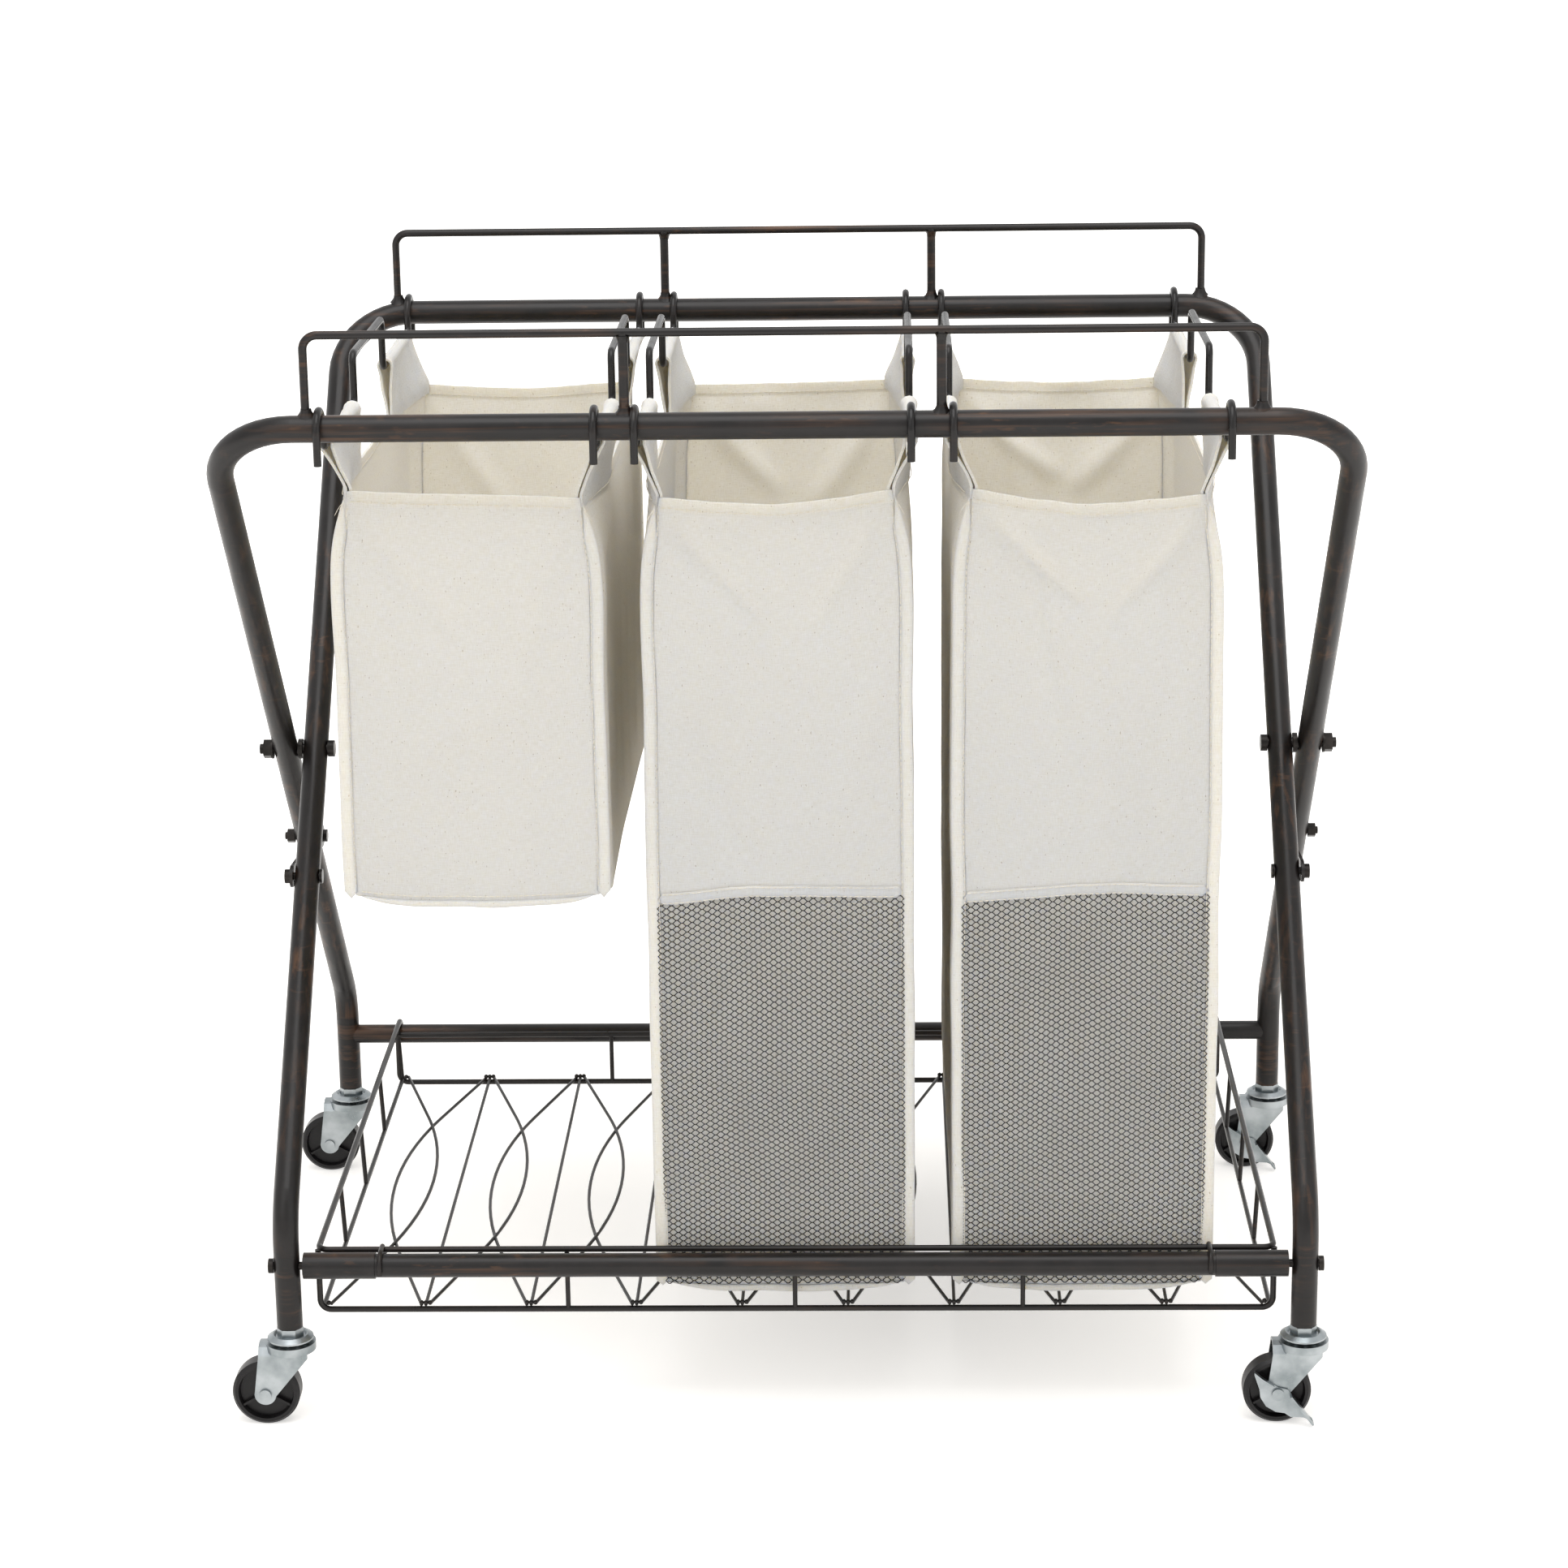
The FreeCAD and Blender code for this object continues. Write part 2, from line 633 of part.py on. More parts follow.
def shelf_rim():
    """The tray's welded edge: a top wire that hooks over the rear crossbar, a hoop at the front and
    one at the back, side wires, posts, and two hooks over the front crossbar."""
    radius = value("shelf_rod / 2")
    bend = value("shelf_bend")
    rods = []
    rail = []
    for side in (-1, 1):
        across = f"{side} * shelf_half"
        behind = "foot_depth + shelf_rear_ring"
        run = [
            point(across, behind, "bar_height - rear_bar_od / 2"),
            point(across, behind, "shelf_rear_top"),
            point(across, "0 - shelf_depth", "shelf_front_top"),
        ]
        rail += run if side < 0 else run[::-1]
    hook_bend = value("shelf_rear_ring")
    rods.append(rod_feature("shelf_top", bent_path(rail, [hook_bend, bend, bend, hook_bend]),
                            radius))
    for side, top in ((-1, "shelf_front_top"), (1, "shelf_back_top")):
        depth = f"{side} * shelf_depth"
        hoop = [point(f"{edge} * shelf_half", depth, up) for edge, up in (
            (1, top), (1, "shelf_height"), (-1, "shelf_height"), (-1, top))]
        rods.append(rod_feature("shelf_hoop", bent_path(hoop, [bend] * 2), radius))
    rods.append(straight("shelf_back", point("0 - shelf_half", "shelf_depth", "shelf_back_top"),
                         point("shelf_half", "shelf_depth", "shelf_back_top"), radius))

    post = value("shelf_post / 2")
    for share in (-1, 0, 1):
        across = f"{share} * shelf_post_x"
        for side, top in ((-1, "shelf_front_top"), (1, "shelf_back_top")):
            depth = f"{side} * shelf_depth"
            rods.append(straight("shelf_post_rod", point(across, depth, "shelf_height"),
                                 point(across, depth, top), post))
    climb = "(shelf_rear_top - shelf_front_top) / (foot_depth + shelf_depth)"
    for side in SIDES.values():
        inner = f"{side} * (shelf_half - shelf_corner)"
        low = "shelf_height + shelf_corner"
        rods.append(straight("side_wire", point(inner, "0 - shelf_depth", low),
                             point(inner, "shelf_depth", low), post))
        for depth in ("0 - shelf_post_y", "0", "shelf_post_y", "shelf_depth"):
            top = f"shelf_front_top + ({depth} + shelf_depth) * {climb}"
            rods.append(straight("side_post", point(inner, depth, low),
                                 point(f"{side} * shelf_half", depth, top), post))
        across = f"{side} * shelf_hook_x"
        before = "0 - foot_depth - shelf_front_ring"
        over = "bar_height + shelf_front_ring"
        hook = bent_path([
            point(across, "0 - shelf_depth", "shelf_front_top"),
            point(across, "0 - shelf_depth", over),
            point(across, before, over),
            point(across, before, "bar_height - shelf_post"),
        ], [post * HOOK_FOOT_BEND, value("shelf_front_ring")])
        rods.append(rod_feature("shelf_hook", hook, post))
    node(fuse("shelf_rim", rods), "shelf_rim")


def shelf_floor_wires():
    """Straight wires from front to back, each with a bowed wire on both sides that crosses the
    next one, so that pointed ovals form between them."""
    radius = value("floor_rod / 2")
    reach = value("shelf_depth")
    height = value("floor_height")
    bays = round(value("shelf_bays"))
    rods = []
    for number in range(bays + 1):
        across = value("shelf_bay") * (number - bays / 2)
        if 0 < number < bays:
            rods.append(straight("floor_wire", Vector(across, -reach, height),
                                 Vector(across, reach, height), radius))
        for side in (-1, 1):
            if number == (0 if side < 0 else bays):
                continue
            inset = "shelf_bend" if abs(number - bays / 2) == bays / 2 else "floor_spread"
            start = across + side * value(inset)
            level = height + radius * BOW_LIFT * (1 + side)
            bow = bent_path([
                Vector(start, -reach, level),
                Vector(start + side * value("floor_apex"), 0, level),
                Vector(start, reach, level),
            ], [value("floor_bend")])
            rods.append(rod_feature("floor_bow", bow, radius))
    node(fuse("shelf_floor_wires", rods), "shelf_floor_wires")


# ---------------------------------------------------------------- bags

def hanger(label, across):
    """A wire hooked over both top rails, with a raised handle in its middle."""
    bend = value("hanger_bend")
    ring = value("hook_ring") * RING_SHARE
    half = []
    for depth, up in (
        ("rail_depth + hook_ring", "rail_height - hook_tip"),
        ("rail_depth + hook_ring", "hook_height + hook_ring"),
        ("rail_depth - hook_ring", "hook_height + hook_ring"),
        ("rail_depth - hook_ring", "hanger_height"),
        ("handle_half", "hanger_height"),
        ("handle_half", "handle_height"),
    ):
        half.append((depth, up))
    points = [point(across, f"0 - ({depth})", up) for depth, up in half]
    points += [point(across, depth, up) for depth, up in reversed(half)]
    radii = [ring, ring, bend, bend, bend]
    path = bent_path(points, radii + radii[::-1])
    node(rod_feature(label, path, value("hanger_rod / 2")), label)


def bag(name, bottom):
    """An open-topped cloth box with a casing round each hanger wire, cut away at the handles."""
    label = "bag_" + name
    centre = label + "_x"
    low, high = f"{centre} - bag_half", f"{centre} + bag_half"
    shell = box(label + "_shell", low, high, "0 - bag_depth", "bag_depth", bottom, "bag_mouth")
    inside = box(label + "_inside", f"{low} + cloth", f"{high} - cloth", "cloth - bag_depth",
                 "bag_depth - cloth", f"{bottom} + cloth", "bag_mouth + cloth")
    walls = [cut(label + "_walls", shell, [inside])]
    bores = []
    for side in SIDES.values():
        wire = f"{centre} + {side} * hanger_half"
        for near, far in (("0 - bag_depth", "0 - casing_end"), ("casing_end", "bag_depth")):
            walls.append(box("bag_flap", f"{wire} - cloth / 2", f"{wire} + cloth / 2", near, far,
                             "bag_mouth - cloth", "hanger_height"))
            run = (f"({far}) - ({near})", wire, near, "hanger_height", "y")
            walls.append(cylinder("bag_casing", "casing_r", *run))
            bores.append(cylinder("casing_hole", "casing_bore", *run))
    node(cut(label, fuse(label + "_cloth", walls), bores), label)
    for side_name, side in SIDES.items():
        hanger(f"hanger_{name}_{side_name}", f"{centre} + {side} * hanger_half")


def mesh_pocket(name):
    """The net sewn over the lower half of a tall bag's front."""
    label = "mesh_pocket_" + name
    centre = f"bag_{name}_x"
    face = "0 - bag_depth - seat"
    node(box(label, f"{centre} - bag_half + mesh_margin", f"{centre} + bag_half - mesh_margin",
             f"{face} - mesh_thick", face, "tall_bottom + mesh_margin", "mesh_top"), label)


# ---------------------------------------------------------------- casters

def wheel(label, across, depth):
    """A moulded wheel with a dished face and radial ribs on both sides."""
    rim, face, hub = "wheel_od / 2", "wheel_width / 2", "hub_width / 2"
    floor = "wheel_width / 2 - wheel_dish"
    bore = "axle_od / 2 + running"
    profile = [
        (bore, f"0 - {hub}"), ("hub_od / 2 - 1", f"0 - {hub}"), ("hub_od / 2", f"0 - ({floor})"),
        ("rim_inner / 2", f"0 - ({floor})"), ("rim_inner / 2 + 1", f"0 - {face}"),
        (f"{rim} - 2", f"0 - {face}"), (rim, f"2 - {face}"), (rim, f"{face} - 2"),
        (f"{rim} - 2", face), ("rim_inner / 2 + 1", face), ("rim_inner / 2", floor),
        ("hub_od / 2", floor), ("hub_od / 2 - 1", hub), (bore, hub),
    ]
    turned = revolved(label + "_turned", profile)
    pieces = [turned]
    count = round(value("rib_count"))
    for number in range(count):
        rib = doc.addObject("Part::Box", free_name("wheel_rib"))
        bind(rib, Length="rim_inner / 2 + rib_bite - (hub_od / 2 - rib_root)", Width="rib_thick",
             Height="wheel_width - 2")
        turn = Rotation(Z_AXIS, RIB_START + FULL_TURN * number / count)
        corner = turn.multVec(Vector(value("hub_od / 2 - rib_root"), -value("rib_thick / 2"), 0))
        rib.Placement = Placement(corner + Vector(0, 0, 1 - value("wheel_width / 2")), turn)
        pieces.append(rib)
    whole = node(fuse(label, pieces), label)
    locate(whole, f"{across} - trail", depth, "axle_height", TURNS["y"])


def brake_lever(label, across, depth):
    """A stamped lever that turns on the axle outside the fork: a plate with a pedal and a tab, each
    stiffened by a flange that stands outwards."""
    half = "brake_plate / 2"
    shapes = []
    for name, outline, thick in (("lever_plate", LEVER_OUTLINE, "brake_plate"),
                                 ("pedal_edge", PEDAL_FLANGE, "pedal_flange"),
                                 ("tab_edge", TAB_FLANGE, "tab_flange")):
        shape = padded(name, "XZ_Plane", [
            (f"pedal_reach * {along}", f"pedal_reach * {aside}") for along, aside in outline
        ], thick)
        shapes.append(locate(shape, "0", f"(brake_plate - {thick}) / 2", "0"))
    bore = cylinder("brake_bore", "axle_od / 2 + running", "2 * brake_plate", "0",
                    "0 - brake_plate", "0", "y")
    lever = node(cut(label, fuse(label + "_plate", shapes), [bore]), label)
    locate(lever, f"{across} - trail", f"{depth} - arm_outside - seat - {half}", "axle_height")


def fork(label, across, depth):
    """A stamped fork: a round plate with a rolled lip, an arched crown behind it over the wheel,
    and two arms that trail to the axle."""
    under = "fork_top - fork_plate"
    plate = cylinder("fork_plate_disc", "fork_disc / 2", "fork_plate", "0", "0", under)
    lip = cut("fork_lip", cylinder("lip_skin", "fork_disc / 2", "fork_lip", "0", "0",
                                   "fork_top - fork_lip"),
              [cylinder("lip_core", "fork_disc / 2 - lip_wall", "fork_lip", "0", "0",
                        "fork_top - fork_lip")])
    back, fold = "trail + crown_over", "fork_top - crown_drop"
    half_arch = [("arm_outside", f"{fold} - crown_leg"), ("arm_outside", fold),
                 ("crown_half", "fork_top - crown_slope"), ("crown_ridge", "fork_top")]
    inner_arch = [("crown_ridge - 0.5 * fork_plate", under),
                  ("crown_half - 0.7 * fork_plate", f"{under} - crown_slope"),
                  ("arm_inside", f"{fold} - fork_plate / 2"), ("arm_inside", f"{fold} - crown_leg")]
    mirrored = [[(f"0 - ({across_y})", up) for across_y, up in line[::-1]]
                for line in (half_arch, inner_arch)]
    crown = locate(padded("fork_crown", "YZ_Plane", half_arch + mirrored[0] + mirrored[1] + inner_arch,
                          f"{back} - arm_root"), f"0 - ({back} + arm_root) / 2")
    pieces = [plate, lip, crown]
    eye = "fork_eye / 2"
    for side in SIDES.values():
        middle = f"{side} * (arm_inside + fork_plate / 2)"
        arm = padded("fork_arm", "XZ_Plane", [
            ("0 - arm_root", f"{under} + arm_bite"),
            ("0 - arm_root", f"{fold} - arm_bite"),
            (f"0 - ({back})", f"{fold} - arm_bite"),
            (f"0 - trail - {eye} * {EYE_SHARE}", "axle_height + eye_turn"),
            (f"{eye} * {EYE_SHARE} - trail", "axle_height - eye_turn"),
            ("arm_root", "fork_top - fork_lip - arm_flare"),
            ("arm_root", f"{under} + arm_bite"),
        ], "fork_plate")
        locate(arm, "0", middle, "0")
        low = f"{middle} - fork_plate / 2"
        pieces.append(arm)
        pieces.append(cylinder("fork_boss", eye, "fork_plate", "0 - trail", low, "axle_height", "y"))
    holes = [
        cylinder("fork_stem_hole", "stem_od / 2 + running", "4 * fork_plate", "0", "0",
                 "fork_top - 3 * fork_plate"),
        cylinder("fork_axle_hole", "axle_od / 2 + running", "4 * arm_outside", "0 - trail",
                 "0 - 2 * arm_outside", "axle_height", "y"),
    ]
    whole = node(cut(label, fuse(label + "_sheet", pieces), holes), label)
    locate(whole, across, depth)


def axle(label, across, depth, braked):
    """The riveted wheel axle with a head outside each arm, longer where it carries a brake."""
    near = "arm_outside + seat" + (" + brake_plate + seat" if braked else "")
    far = "arm_outside + seat"
    spot = (f"{across} - trail",)
    low = f"{depth} - ({near})"
    pieces = [
        cylinder("axle_rod", "axle_od / 2", f"({near}) + ({far})", *spot, low, "axle_height", "y"),
        cylinder("axle_near_head", "rivet_head / 2", "rivet_rise", *spot, f"{low} - rivet_rise",
                 "axle_height", "y"),
        cylinder("axle_far_head", "rivet_head / 2", "rivet_rise", *spot, f"{depth} + {far}",
                 "axle_height", "y"),
    ]
    node(fuse(label, pieces), label)


def stem(label, across, depth):
    """The fixed part of a caster: stem in the leg, hexagon, dished race and the riveted foot."""
    foot = "fork_top - fork_plate - seat"
    crest = "race_height + race_rise"
    race = locate(revolved(label + "_race", [
        ("0", "race_height"), ("race_disc / 2", "race_height"),
        ("race_disc / 2", "race_height + race_edge"), ("crest_od / 2", crest),
        ("crest_od / 2 - crest_width", crest), ("race_floor / 2", "hex_height"),
        ("0", "hex_height"),
    ]), across, depth)
    pieces = [
        cylinder("stem_rod", "stem_od / 2", f"foot_height + stem_reach - ({foot})", across, depth,
                 foot),
        cylinder("stem_foot", "stem_foot_od / 2", "fork_plate", across, depth, f"{foot} - fork_plate"),
        race,
        prism("stem_hex", "hex_flats", "foot_height - seat - hex_height", across, depth,
              "hex_height"),
    ]
    node(fuse(label, pieces), label)


def swivel_bearing(label, across, depth):
    balls = []
    count = round(value("ball_count"))
    for number in range(count):
        angle = FULL_TURN * number / count
        balls.append(ball("bearing_ball", "ball_od / 2",
                          f"{across} + ball_ring / 2 * cos({angle})",
                          f"{depth} + ball_ring / 2 * sin({angle})",
                          "fork_top + running + ball_od / 2"))
    node(group(label, balls), label)


def casters():
    for row, half, front in (("front", "inner_half", -1), ("rear", "outer_half", 1)):
        for name, side in SIDES.items():
            place = f"{row}_{name}"
            spot = (f"{side} * {half}", f"{front} * foot_depth")
            stem("caster_stem_" + place, *spot)
            swivel_bearing("swivel_bearing_" + place, *spot)
            fork("caster_fork_" + place, *spot)
            axle("wheel_axle_" + place, *spot, braked=side > 0)
            wheel("wheel_" + place, *spot)
            if side > 0:
                brake_lever("brake_lever_" + place, *spot)


# ---------------------------------------------------------------- build, test and write

def test_document():
    for thing in doc.Objects:
        if {"Invalid", "Error"} & set(thing.State):
            raise RuntimeError(f"{thing.Name} failed: {thing.State}")
    for thing in NODES:
        if thing.Shape.isNull() or not thing.Shape.isValid() or not thing.Shape.Solids:
            raise RuntimeError(f"{thing.Label} has no valid solid")


def write_parts():
    os.makedirs("parts", exist_ok=True)
    for thing in NODES:
        thing.Shape.exportStep(f"parts/{thing.Label}.step")
        bounds = thing.Shape.BoundBox
        print(f"{thing.Label:34s} {len(thing.Shape.Solids):3d} solids  {thing.Shape.Volume:12.1f} mm3"
              f"  z {bounds.ZMin:7.2f}..{bounds.ZMax:7.2f}")


fill_sheets()
frame_tubes()
crossbars()
guard_rails()
pivots()
lock_bars()
lock_fasteners()
shelf_rim()
shelf_floor_wires()
bag("left", "short_bottom")
bag("middle", "tall_bottom")
bag("right", "tall_bottom")
mesh_pocket("middle")
mesh_pocket("right")
casters()
doc.recompute()
test_document()
write_parts()
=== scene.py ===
import math

import bpy
from mathutils import Matrix, Vector, noise


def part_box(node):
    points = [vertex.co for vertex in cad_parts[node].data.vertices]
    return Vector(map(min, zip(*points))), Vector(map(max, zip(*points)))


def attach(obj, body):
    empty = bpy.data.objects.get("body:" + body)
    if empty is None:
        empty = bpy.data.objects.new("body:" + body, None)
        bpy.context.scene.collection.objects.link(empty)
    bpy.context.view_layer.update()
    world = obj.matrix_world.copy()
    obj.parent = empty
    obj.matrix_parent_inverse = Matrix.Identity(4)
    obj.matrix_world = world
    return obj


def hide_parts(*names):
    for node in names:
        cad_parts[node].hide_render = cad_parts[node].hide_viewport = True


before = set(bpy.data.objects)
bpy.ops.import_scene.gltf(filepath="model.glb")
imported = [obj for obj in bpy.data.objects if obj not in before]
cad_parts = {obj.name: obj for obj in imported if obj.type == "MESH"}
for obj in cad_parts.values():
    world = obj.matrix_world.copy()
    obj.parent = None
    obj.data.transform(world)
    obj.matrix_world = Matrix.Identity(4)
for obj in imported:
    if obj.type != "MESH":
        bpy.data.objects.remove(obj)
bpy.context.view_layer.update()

# Laundry sorter on wheels: bronze tube frame, wire shelf, three canvas bags on wire hangers.
# Metres, with the floor at z 0, +X right along the rails and +Y to the rear.

# ---------------------------------------------------------------- camera, floor and light

CAMERA_AT = Vector((0.0683, -2.8599, 1.2215))
CAMERA_YAW = -0.0273
CAMERA_PITCH = 0.2741
CAMERA_ROLL = -0.0134
CAMERA_LENS = 87.8
CAMERA_SENSOR = 36.0


def add_camera():
    """The camera, a little right of the middle and looking down at the front."""
    ahead = Vector((math.sin(CAMERA_YAW) * math.cos(CAMERA_PITCH),
                    math.cos(CAMERA_YAW) * math.cos(CAMERA_PITCH),
                    -math.sin(CAMERA_PITCH)))
    level = Vector((math.cos(CAMERA_YAW), -math.sin(CAMERA_YAW), 0.0))
    upward = level.cross(ahead)
    across = level * math.cos(CAMERA_ROLL) + upward * math.sin(CAMERA_ROLL)
    above = upward * math.cos(CAMERA_ROLL) - level * math.sin(CAMERA_ROLL)
    turn = Matrix((across, above, -ahead)).transposed()
    bpy.ops.object.camera_add(location=CAMERA_AT, rotation=turn.to_euler())
    camera = bpy.context.object
    camera.data.sensor_width = CAMERA_SENSOR
    camera.data.lens = CAMERA_LENS
    bpy.context.scene.camera = camera


def add_lamp(name, at, target, size, power):
    """A large soft square lamp that faces a point on the sorter."""
    bpy.ops.object.light_add(type="AREA", location=at)
    lamp = bpy.context.object
    lamp.name = name
    lamp.data.shape = "SQUARE"
    lamp.data.size = size
    lamp.data.energy = power
    aim = (Vector(target) - Vector(at)).to_track_quat("-Z", "Y")
    lamp.rotation_euler = aim.to_euler()


# ---------------------------------------------------------------- materials

def add_socket(group, way, name, kind, start=None):
    """One named socket of a node group."""
    socket = group.interface.new_socket(name=name, in_out=way, socket_type="NodeSocket" + kind)
    if start is not None:
        socket.default_value = start


def new_group(name, inputs, outputs):
    """An empty node group with its sockets; gives the group, its entry and its way out."""
    group = bpy.data.node_groups.new(name, "ShaderNodeTree")
    for way, sockets in (("INPUT", inputs), ("OUTPUT", outputs)):
        for socket in sockets:
            add_socket(group, way, *socket)
    entry = group.nodes.new("NodeGroupInput")
    leaving = group.nodes.new("NodeGroupOutput")
    return group, entry, leaving


def math_node(tree, operation, first, second):
    """A Math node; each input is a socket or a number."""
    node = tree.nodes.new("ShaderNodeMath")
    node.operation = operation
    for place, given in enumerate((first, second)):
        if isinstance(given, (int, float)):
            node.inputs[place].default_value = given
        else:
            tree.links.new(given, node.inputs[place])
    return node.outputs[0]


def noise_node(tree, vector, scale, detail=3.0, roughness=0.55):
    """A noise texture on a vector; gives its value."""
    node = tree.nodes.new("ShaderNodeTexNoise")
    node.inputs["Scale"].default_value = scale
    node.inputs["Detail"].default_value = detail
    node.inputs["Roughness"].default_value = roughness
    tree.links.new(vector, node.inputs["Vector"])
    return node.outputs["Fac"]


def stretched(tree, vector, scale, turn=(0.0, 0.0, 0.0)):
    """A vector scaled, and turned, by a Mapping node."""
    node = tree.nodes.new("ShaderNodeMapping")
    node.inputs["Scale"].default_value = scale
    node.inputs["Rotation"].default_value = turn
    tree.links.new(vector, node.inputs["Vector"])
    return node.outputs["Vector"]


def ranged(tree, value, low, high, to_low=0.0, to_high=1.0):
    """A value mapped from one range to another and clamped."""
    node = tree.nodes.new("ShaderNodeMapRange")
    node.inputs["From Min"].default_value = low
    node.inputs["From Max"].default_value = high
    node.inputs["To Min"].default_value = to_low
    node.inputs["To Max"].default_value = to_high
    tree.links.new(value, node.inputs["Value"])
    return node.outputs["Result"]


def mixed(tree, mask, first, second):
    """Two colours mixed by a mask; each is a socket or a colour."""
    node = tree.nodes.new("ShaderNodeMix")
    node.data_type = "RGBA"
    tree.links.new(mask, node.inputs["Factor"])
    for name, given in (("A", first), ("B", second)):
        socket = next(s for s in node.inputs if s.name == name and s.type == "RGBA")
        if isinstance(given, tuple):
            socket.default_value = (*given, 1.0)
        else:
            tree.links.new(given, socket)
    return next(s for s in node.outputs if s.type == "RGBA")


def weave_group():
    """Plain weave of uneven threads with slubs and seed flecks, on a map in metres."""
    group, entry, leaving = new_group(
        "canvas weave",
        [("Map", "Vector"), ("Thread", "Float", 1100.0)],
        [("Threads", "Float"), ("Slubs", "Float"), ("Flecks", "Float"), ("Relief", "Float")])
    cloth_map = entry.outputs["Map"]
    warp = noise_node(group, stretched(group, cloth_map, (1500.0, 170.0, 1.0)), 1.0, 2.0)
    weft = noise_node(group, stretched(group, cloth_map, (150.0, 1500.0, 1.0)), 1.0, 2.0)
    threads = math_node(group, "MULTIPLY", math_node(group, "ADD", warp, weft), 0.5)
    waves = []
    for bands in ("X", "Y"):
        wave = group.nodes.new("ShaderNodeTexWave")
        wave.bands_direction = bands
        wave.inputs["Distortion"].default_value = 0.6
        group.links.new(entry.outputs["Thread"], wave.inputs["Scale"])
        group.links.new(cloth_map, wave.inputs["Vector"])
        waves.append(wave.outputs["Fac"])
    cross = math_node(group, "MULTIPLY", waves[0], waves[1])
    slubs = ranged(group, noise_node(group, stretched(group, cloth_map, (60.0, 420.0, 1.0)), 1.0, 2.0),
                   0.62, 0.78)
    seeds = noise_node(group, stretched(group, cloth_map, (620.0, 330.0, 1.0)), 1.0, 1.0)
    flecks = ranged(group, seeds, 0.70, 0.76)
    relief = math_node(group, "ADD", math_node(group, "MULTIPLY", threads, 1.2),
                       math_node(group, "MULTIPLY", cross, 0.5))
    for name, socket in (("Threads", threads), ("Slubs", slubs), ("Flecks", flecks),
                         ("Relief", relief)):
        group.links.new(socket, leaving.inputs[name])
    return group


RAIL_ZONE = (0.715, 0.74)    # heights over which the streaks turn to run along the rails
LOW_ZONE = (0.139, 0.142)    # and below which they run along the crossbars and the shelf


def rub_group():
    """Brush marks rubbed through a dark coat: long streaks along the metal and slanting ones."""
    group, entry, leaving = new_group(
        "rubbed streaks",
        [("Place", "Vector"), ("Amount", "Float", 0.5)],
        [("Streaks", "Float"), ("Clouds", "Float"), ("Grain", "Float")])
    place = entry.outputs["Place"]
    along = noise_node(group, stretched(group, place, (6.0, 90.0, 220.0)), 1.0, 4.0)
    upright = noise_node(group, stretched(group, place, (190.0, 70.0, 5.0)), 1.0, 4.0)
    slanting = noise_node(group, stretched(group, place, (60.0, 60.0, 260.0), (0.0, 0.6, 0.0)),
                          1.0, 3.0)
    split = group.nodes.new("ShaderNodeSeparateXYZ")
    group.links.new(place, split.inputs["Vector"])
    rail_mask = ranged(group, split.outputs["Z"], *RAIL_ZONE)
    low_mask = ranged(group, split.outputs["Z"], *LOW_ZONE, 1.0, 0.0)
    level_mask = math_node(group, "MAXIMUM", rail_mask, low_mask)
    chosen = group.nodes.new("ShaderNodeMix")
    group.links.new(level_mask, chosen.inputs["Factor"])
    group.links.new(upright, chosen.inputs[2])
    group.links.new(along, chosen.inputs[3])
    patches = ranged(group, noise_node(group, place, 13.0, 2.0), 0.40, 0.66)
    strong = math_node(group, "ADD", ranged(group, chosen.outputs[0], 0.50, 0.72),
                       ranged(group, slanting, 0.60, 0.72, 0.0, 0.6))
    streaks = math_node(group, "MULTIPLY", math_node(group, "MULTIPLY", strong, patches),
                        entry.outputs["Amount"])
    clouds = noise_node(group, place, 42.0, 3.0)
    grain = noise_node(group, place, 1600.0, 2.0)
    for name, socket in (("Streaks", streaks), ("Clouds", clouds), ("Grain", grain)):
        group.links.new(socket, leaving.inputs[name])
    return group


def grain_group():
    """Soft cloudy wear and fine grain for plated metal and moulded plastic."""
    group, entry, leaving = new_group(
        "fine grain",
        [("Place", "Vector"), ("Cloud Scale", "Float", 60.0), ("Grain Scale", "Float", 1500.0)],
        [("Clouds", "Float"), ("Grain", "Float")])
    for name, scale, detail in (("Clouds", "Cloud Scale", 4.0), ("Grain", "Grain Scale", 2.0)):
        node = group.nodes.new("ShaderNodeTexNoise")
        node.inputs["Detail"].default_value = detail
        group.links.new(entry.outputs["Place"], node.inputs["Vector"])
        group.links.new(entry.outputs[scale], node.inputs["Scale"])
        group.links.new(node.outputs["Fac"], leaving.inputs[name])
    return group


WEAVE = weave_group()
RUB = rub_group()
GRAIN = grain_group()


def new_material(name, group, vector_output="Object"):
    """A material with one Principled shader and one placed group on the given coordinates."""
    material = bpy.data.materials.new(name)
    material.use_nodes = True
    tree = material.node_tree
    shader = next(n for n in tree.nodes if n.type == "BSDF_PRINCIPLED")
    placed = tree.nodes.new("ShaderNodeGroup")
    placed.node_tree = group
    source = tree.nodes.new("ShaderNodeTexCoord")
    tree.links.new(source.outputs[vector_output], placed.inputs[0])
    return material, tree, shader, placed


def link_bump(tree, shader, height, strength, distance):
    """A bump from a height into the shader's normal."""
    bump = tree.nodes.new("ShaderNodeBump")
    bump.inputs["Strength"].default_value = strength
    bump.inputs["Distance"].default_value = distance
    tree.links.new(height, bump.inputs["Height"])
    tree.links.new(bump.outputs["Normal"], shader.inputs["Normal"])


CANVAS_LIGHT = 0.9                     # share of the light that goes into the cloth
CANVAS_LIGHT_TINT = (1.0, 0.86, 0.62)
CANVAS_LIGHT_REACH = 0.006


